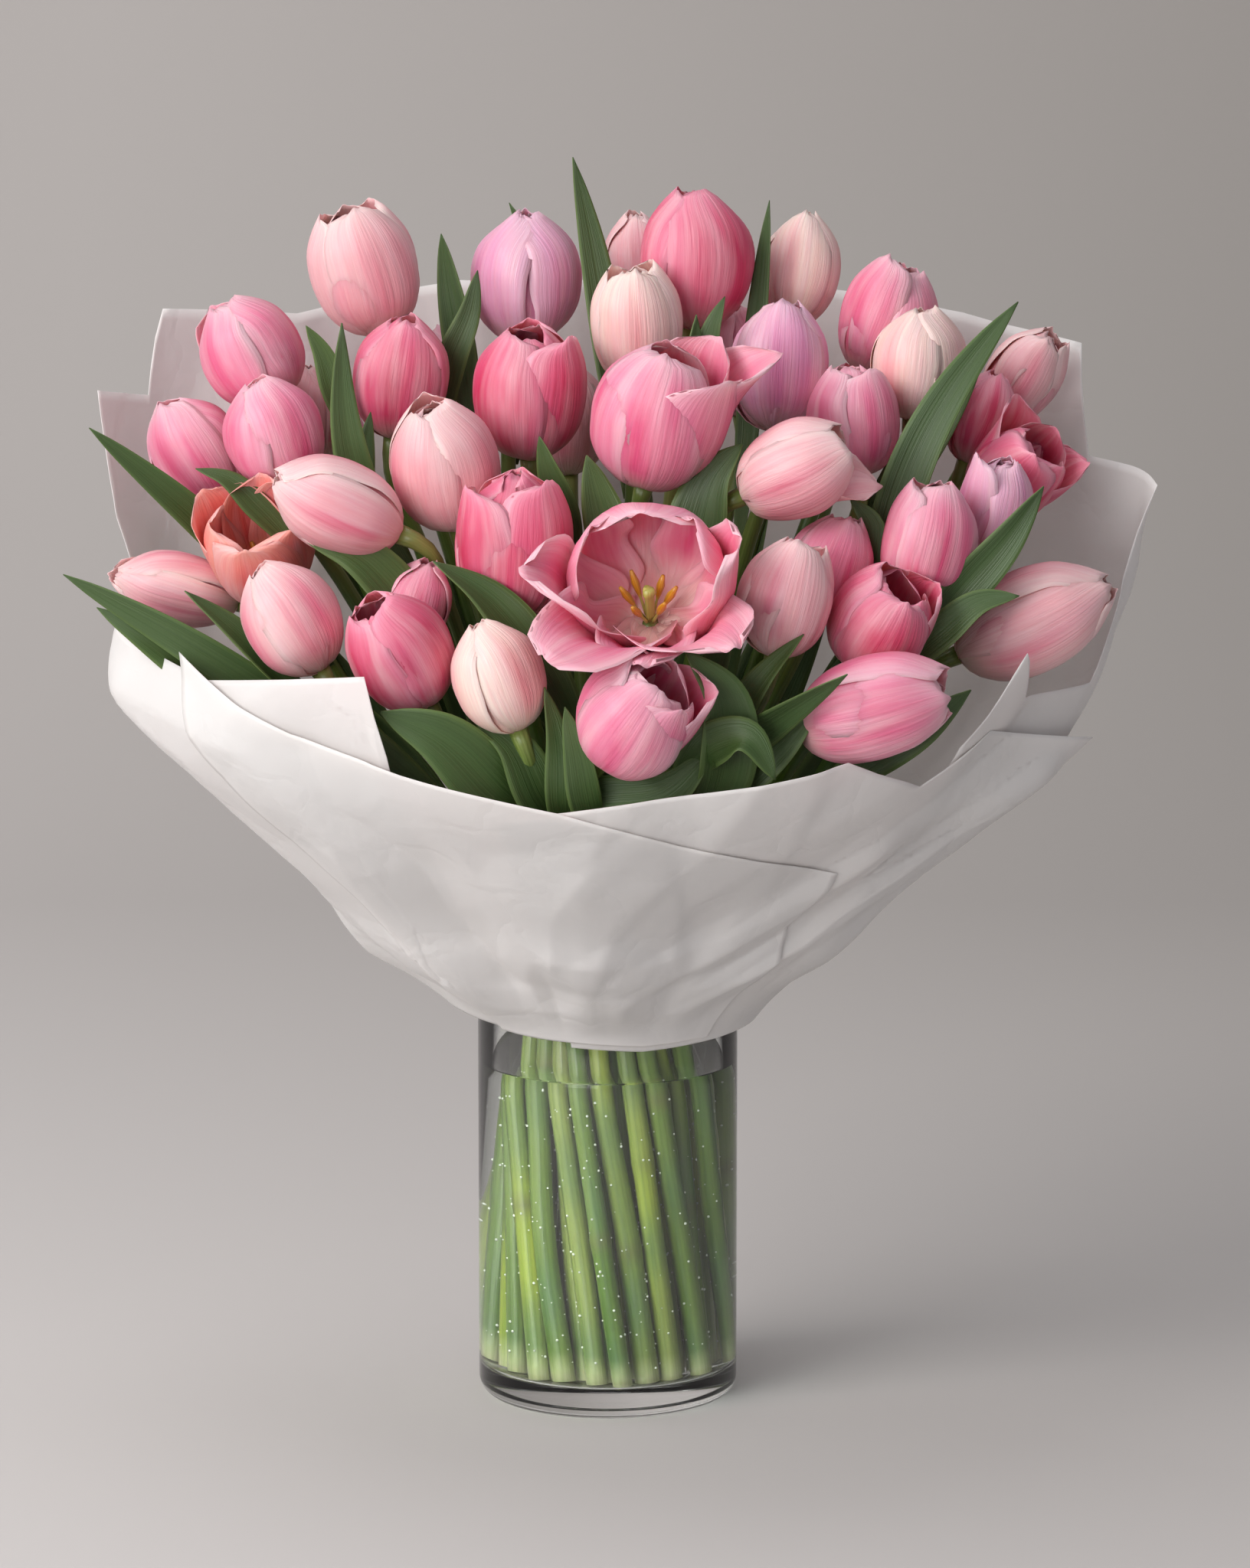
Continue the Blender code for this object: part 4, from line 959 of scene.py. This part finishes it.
def bubble_tree(material):
    """A tree that scatters small balls over a surface."""
    tree = bpy.data.node_groups.new("bubbles", "GeometryNodeTree")
    face = tree.interface
    face.new_socket("Geometry", in_out="INPUT", socket_type="NodeSocketGeometry")
    for name in ("Per square metre", "Smallest", "Largest"):
        face.new_socket(name, in_out="INPUT", socket_type="NodeSocketFloat")
    face.new_socket("Seed", in_out="INPUT", socket_type="NodeSocketInt")
    face.new_socket("Geometry", in_out="OUTPUT", socket_type="NodeSocketGeometry")
    add = tree.nodes.new
    inside, outside = add("NodeGroupInput"), add("NodeGroupOutput")
    scatter = add("GeometryNodeDistributePointsOnFaces")
    ball, smooth = add("GeometryNodeMeshIcoSphere"), add("GeometryNodeSetShadeSmooth")
    ball.inputs["Radius"].default_value = 1.0
    ball.inputs["Subdivisions"].default_value = 2
    size, spread = add("FunctionNodeRandomValue"), add("GeometryNodeInstanceOnPoints")
    whole, coat = add("GeometryNodeRealizeInstances"), add("GeometryNodeSetMaterial")
    coat.inputs["Material"].default_value = material
    link(tree, inside.outputs["Geometry"], scatter.inputs["Mesh"])
    link(tree, inside.outputs["Per square metre"], scatter.inputs["Density"])
    link(tree, inside.outputs["Seed"], scatter.inputs["Seed"])
    link(tree, inside.outputs["Smallest"], size.inputs[2])
    link(tree, inside.outputs["Largest"], size.inputs[3])
    link(tree, inside.outputs["Seed"], size.inputs["Seed"])
    link(tree, ball.outputs["Mesh"], smooth.inputs["Geometry"])
    link(tree, scatter.outputs["Points"], spread.inputs["Points"])
    link(tree, smooth.outputs["Geometry"], spread.inputs["Instance"])
    link(tree, size.outputs[1], spread.inputs["Scale"])
    link(tree, spread.outputs["Instances"], whole.inputs["Geometry"])
    link(tree, whole.outputs["Geometry"], coat.inputs["Geometry"])
    link(tree, coat.outputs["Geometry"], outside.inputs["Geometry"])
    return tree


def build_bubbles(stems, material):
    """Small bubbles that cling to the stems under the water."""
    _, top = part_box(WATER_NODE)
    skin = Skin()
    for line, radii in stems:
        under = (line[:, 2] > 18 * MM) & (line[:, 2] < top.z - 6 * MM)
        skin.tube(line[under], radii[under] + 0.1 * MM, np.ones((under.sum(), 3)), sides=12)
    item = skin.build("wet_stems", [material])
    tree = bubble_tree(material)
    modifier = item.modifiers.new("bubbles", "NODES")
    modifier.node_group = tree
    for socket in tree.interface.items_tree:
        if socket.in_out == "INPUT" and socket.name in BUBBLES:
            modifier[socket.identifier] = BUBBLES[socket.name]
    view = bpy.context.evaluated_depsgraph_get()
    mesh = bpy.data.meshes.new_from_object(item.evaluated_get(view), depsgraph=view)
    item.modifiers.clear()
    bpy.data.objects.remove(item)
    bubbles = bpy.data.objects.new("stem_bubbles", mesh)
    bpy.context.scene.collection.objects.link(bubbles)
    finish_piece(bubbles, "water")


# ---------------------------------------------------------------- stage

TARGET = Vector((0.008, 0.0, 0.287))
CAMERA_DISTANCE = 3.2
CAMERA_ELEVATION = math.radians(10)
LENS = 159.8
# Each lamp's place, size in metres, power in watts and colour
LAMPS = {
    "key": ((-2.1, -1.7, 1.9), (1.7, 1.7), 72, (1.0, 0.985, 0.965)),
    "front": ((-1.3, -3.0, 0.75), (1.8, 1.2), 34, (1.0, 0.99, 0.975)),
    "top": ((-0.4, 0.3, 2.6), (1.6, 1.6), 15, (1, 1, 1)),
}
WORLD_COLOR = (0.92, 0.94, 1.0)
WORLD_STRENGTH = 0.40


def look_at(item, place, target):
    item.location = place
    item.rotation_euler = (target - Vector(place)).to_track_quat("-Z", "Y").to_euler()


def build_camera():
    camera = bpy.data.objects.new("camera", bpy.data.cameras.new("camera"))
    bpy.context.scene.collection.objects.link(camera)
    camera.data.lens = LENS
    camera.data.sensor_width = 36
    camera.data.clip_end = 50
    place = TARGET + Vector((0, -math.cos(CAMERA_ELEVATION), math.sin(CAMERA_ELEVATION))) * CAMERA_DISTANCE
    look_at(camera, place, TARGET)
    bpy.context.scene.camera = camera


def add_lamp(name, place, size, power, color):
    lamp = bpy.data.objects.new(name, bpy.data.lights.new(name, "AREA"))
    bpy.context.scene.collection.objects.link(lamp)
    lamp.data.shape = "RECTANGLE"
    lamp.data.size, lamp.data.size_y = size
    lamp.data.energy = power
    lamp.data.color = color
    look_at(lamp, place, TARGET)


def build_stage():
    material = bpy.data.materials.new("pale_floor_painted_light")
    tree, shader = nodes_of(material)
    shader.inputs["Roughness"].default_value = 0.9
    place, parts = tree.nodes.new("ShaderNodeTexCoord"), tree.nodes.new("ShaderNodeSeparateXYZ")
    link(tree, place.outputs["Object"], parts.inputs[0])
    # painted light and shade: the floor and backdrop colour runs from light at the front left to dark at the
    # back right
    shares = []
    for axis, first, last in (("X", -0.4, 0.5), ("Y", 0.1, 1.8)):
        share = tree.nodes.new("ShaderNodeMapRange")
        share.inputs["From Min"].default_value = first
        share.inputs["From Max"].default_value = last
        link(tree, parts.outputs[axis], share.inputs["Value"])
        shares.append(share.outputs["Result"])
    whole = tree.nodes.new("ShaderNodeMixRGB")
    link(tree, shares[1], whole.inputs[0])
    for slot, (left, right) in enumerate((FLOOR_PAINTED_LIGHT_FRONT, FLOOR_PAINTED_LIGHT_BACK), 1):
        row = tree.nodes.new("ShaderNodeMixRGB")
        row.inputs[1].default_value = (*linear(left), 1)
        row.inputs[2].default_value = (*linear(right), 1)
        link(tree, shares[0], row.inputs[0])
        link(tree, row.outputs[0], whole.inputs[slot])
    link(tree, whole.outputs[0], shader.inputs["Base Color"])
    # the backdrop's rear side is clear, so that the bunch can be seen from behind
    rear = tree.nodes.new("ShaderNodeNewGeometry")
    clear = tree.nodes.new("ShaderNodeBsdfTransparent")
    either = tree.nodes.new("ShaderNodeMixShader")
    link(tree, rear.outputs["Backfacing"], either.inputs[0])
    link(tree, shader.outputs[0], either.inputs[1])
    link(tree, clear.outputs[0], either.inputs[2])
    link(tree, either.outputs[0], tree.nodes["Material Output"].inputs["Surface"])
    across = np.linspace(-6, 6, 3)
    profile = [(-5, 0), (1.2, 0)] + [(1.2 + 1.2 * math.sin(t), 1.2 - 1.2 * math.cos(t))
                                     for t in np.linspace(0.1, math.pi / 2, 14)] + [(2.4, 5)]
    points = np.array([[(x, y, z) for x in across] for y, z in profile])
    skin = Skin()
    rows, columns = points.shape[:2]
    quads = grid_faces(np.arange(rows * columns).reshape(rows, columns))
    skin.add(points.reshape(-1, 3), quads, points[..., :2].reshape(-1, 2), np.ones((rows * columns, 3)))
    skin.build("backdrop", [material])
    for name, (place, size, power, color) in LAMPS.items():
        add_lamp(name, place, size, power, color)
    world = bpy.data.worlds.new("studio")
    bpy.context.scene.world = world
    world.use_nodes = True
    world.node_tree.nodes["Background"].inputs["Color"].default_value = (*WORLD_COLOR, 1)
    world.node_tree.nodes["Background"].inputs["Strength"].default_value = WORLD_STRENGTH
    bpy.context.scene.view_settings.view_transform = "Standard"


def main():
    build_camera()
    build_stage()
    streaks = streak_group()
    petals = streaked_material("petal_skin", streaks, (0.92, 0.55, 0.66), (0.93, 0.60, 0.62), 34, 1.5, 0.42,
                               0.46, 0.35, subsurface=0.25)
    stems = streaked_material("stem_skin", streaks, (0.46, 0.56, 0.34), (0.27, 0.32, 0.10), 7, 0.9, 0.8,
                              0.34, 0.3, subsurface=0.1, coat=0.15)
    leaves = streaked_material("leaf_skin", streaks, (0.60, 0.68, 0.55), (0.05, 0.11, 0.025), 26, 0.6, 0.6,
                               0.46, 0.4)
    tulips = [Tulip(name) for name in sorted(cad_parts) if name.startswith("tulip_")]
    lines = [build_tulip(tulip, [petals, stems]) for tulip in tulips]
    build_leaves(leaves, tulips)
    paper = paper_material()
    for name, (layer, foot, edge) in SHEETS.items():
        build_sheet(name, layer, foot, edge, paper)
    glass, water = clear_material("vase_glass", GLASS_COLOR, 1.5), clear_material("water", WATER_COLOR, 1.33)
    build_vase(glass, water)
    build_bubbles(lines, bubble_material())


main()
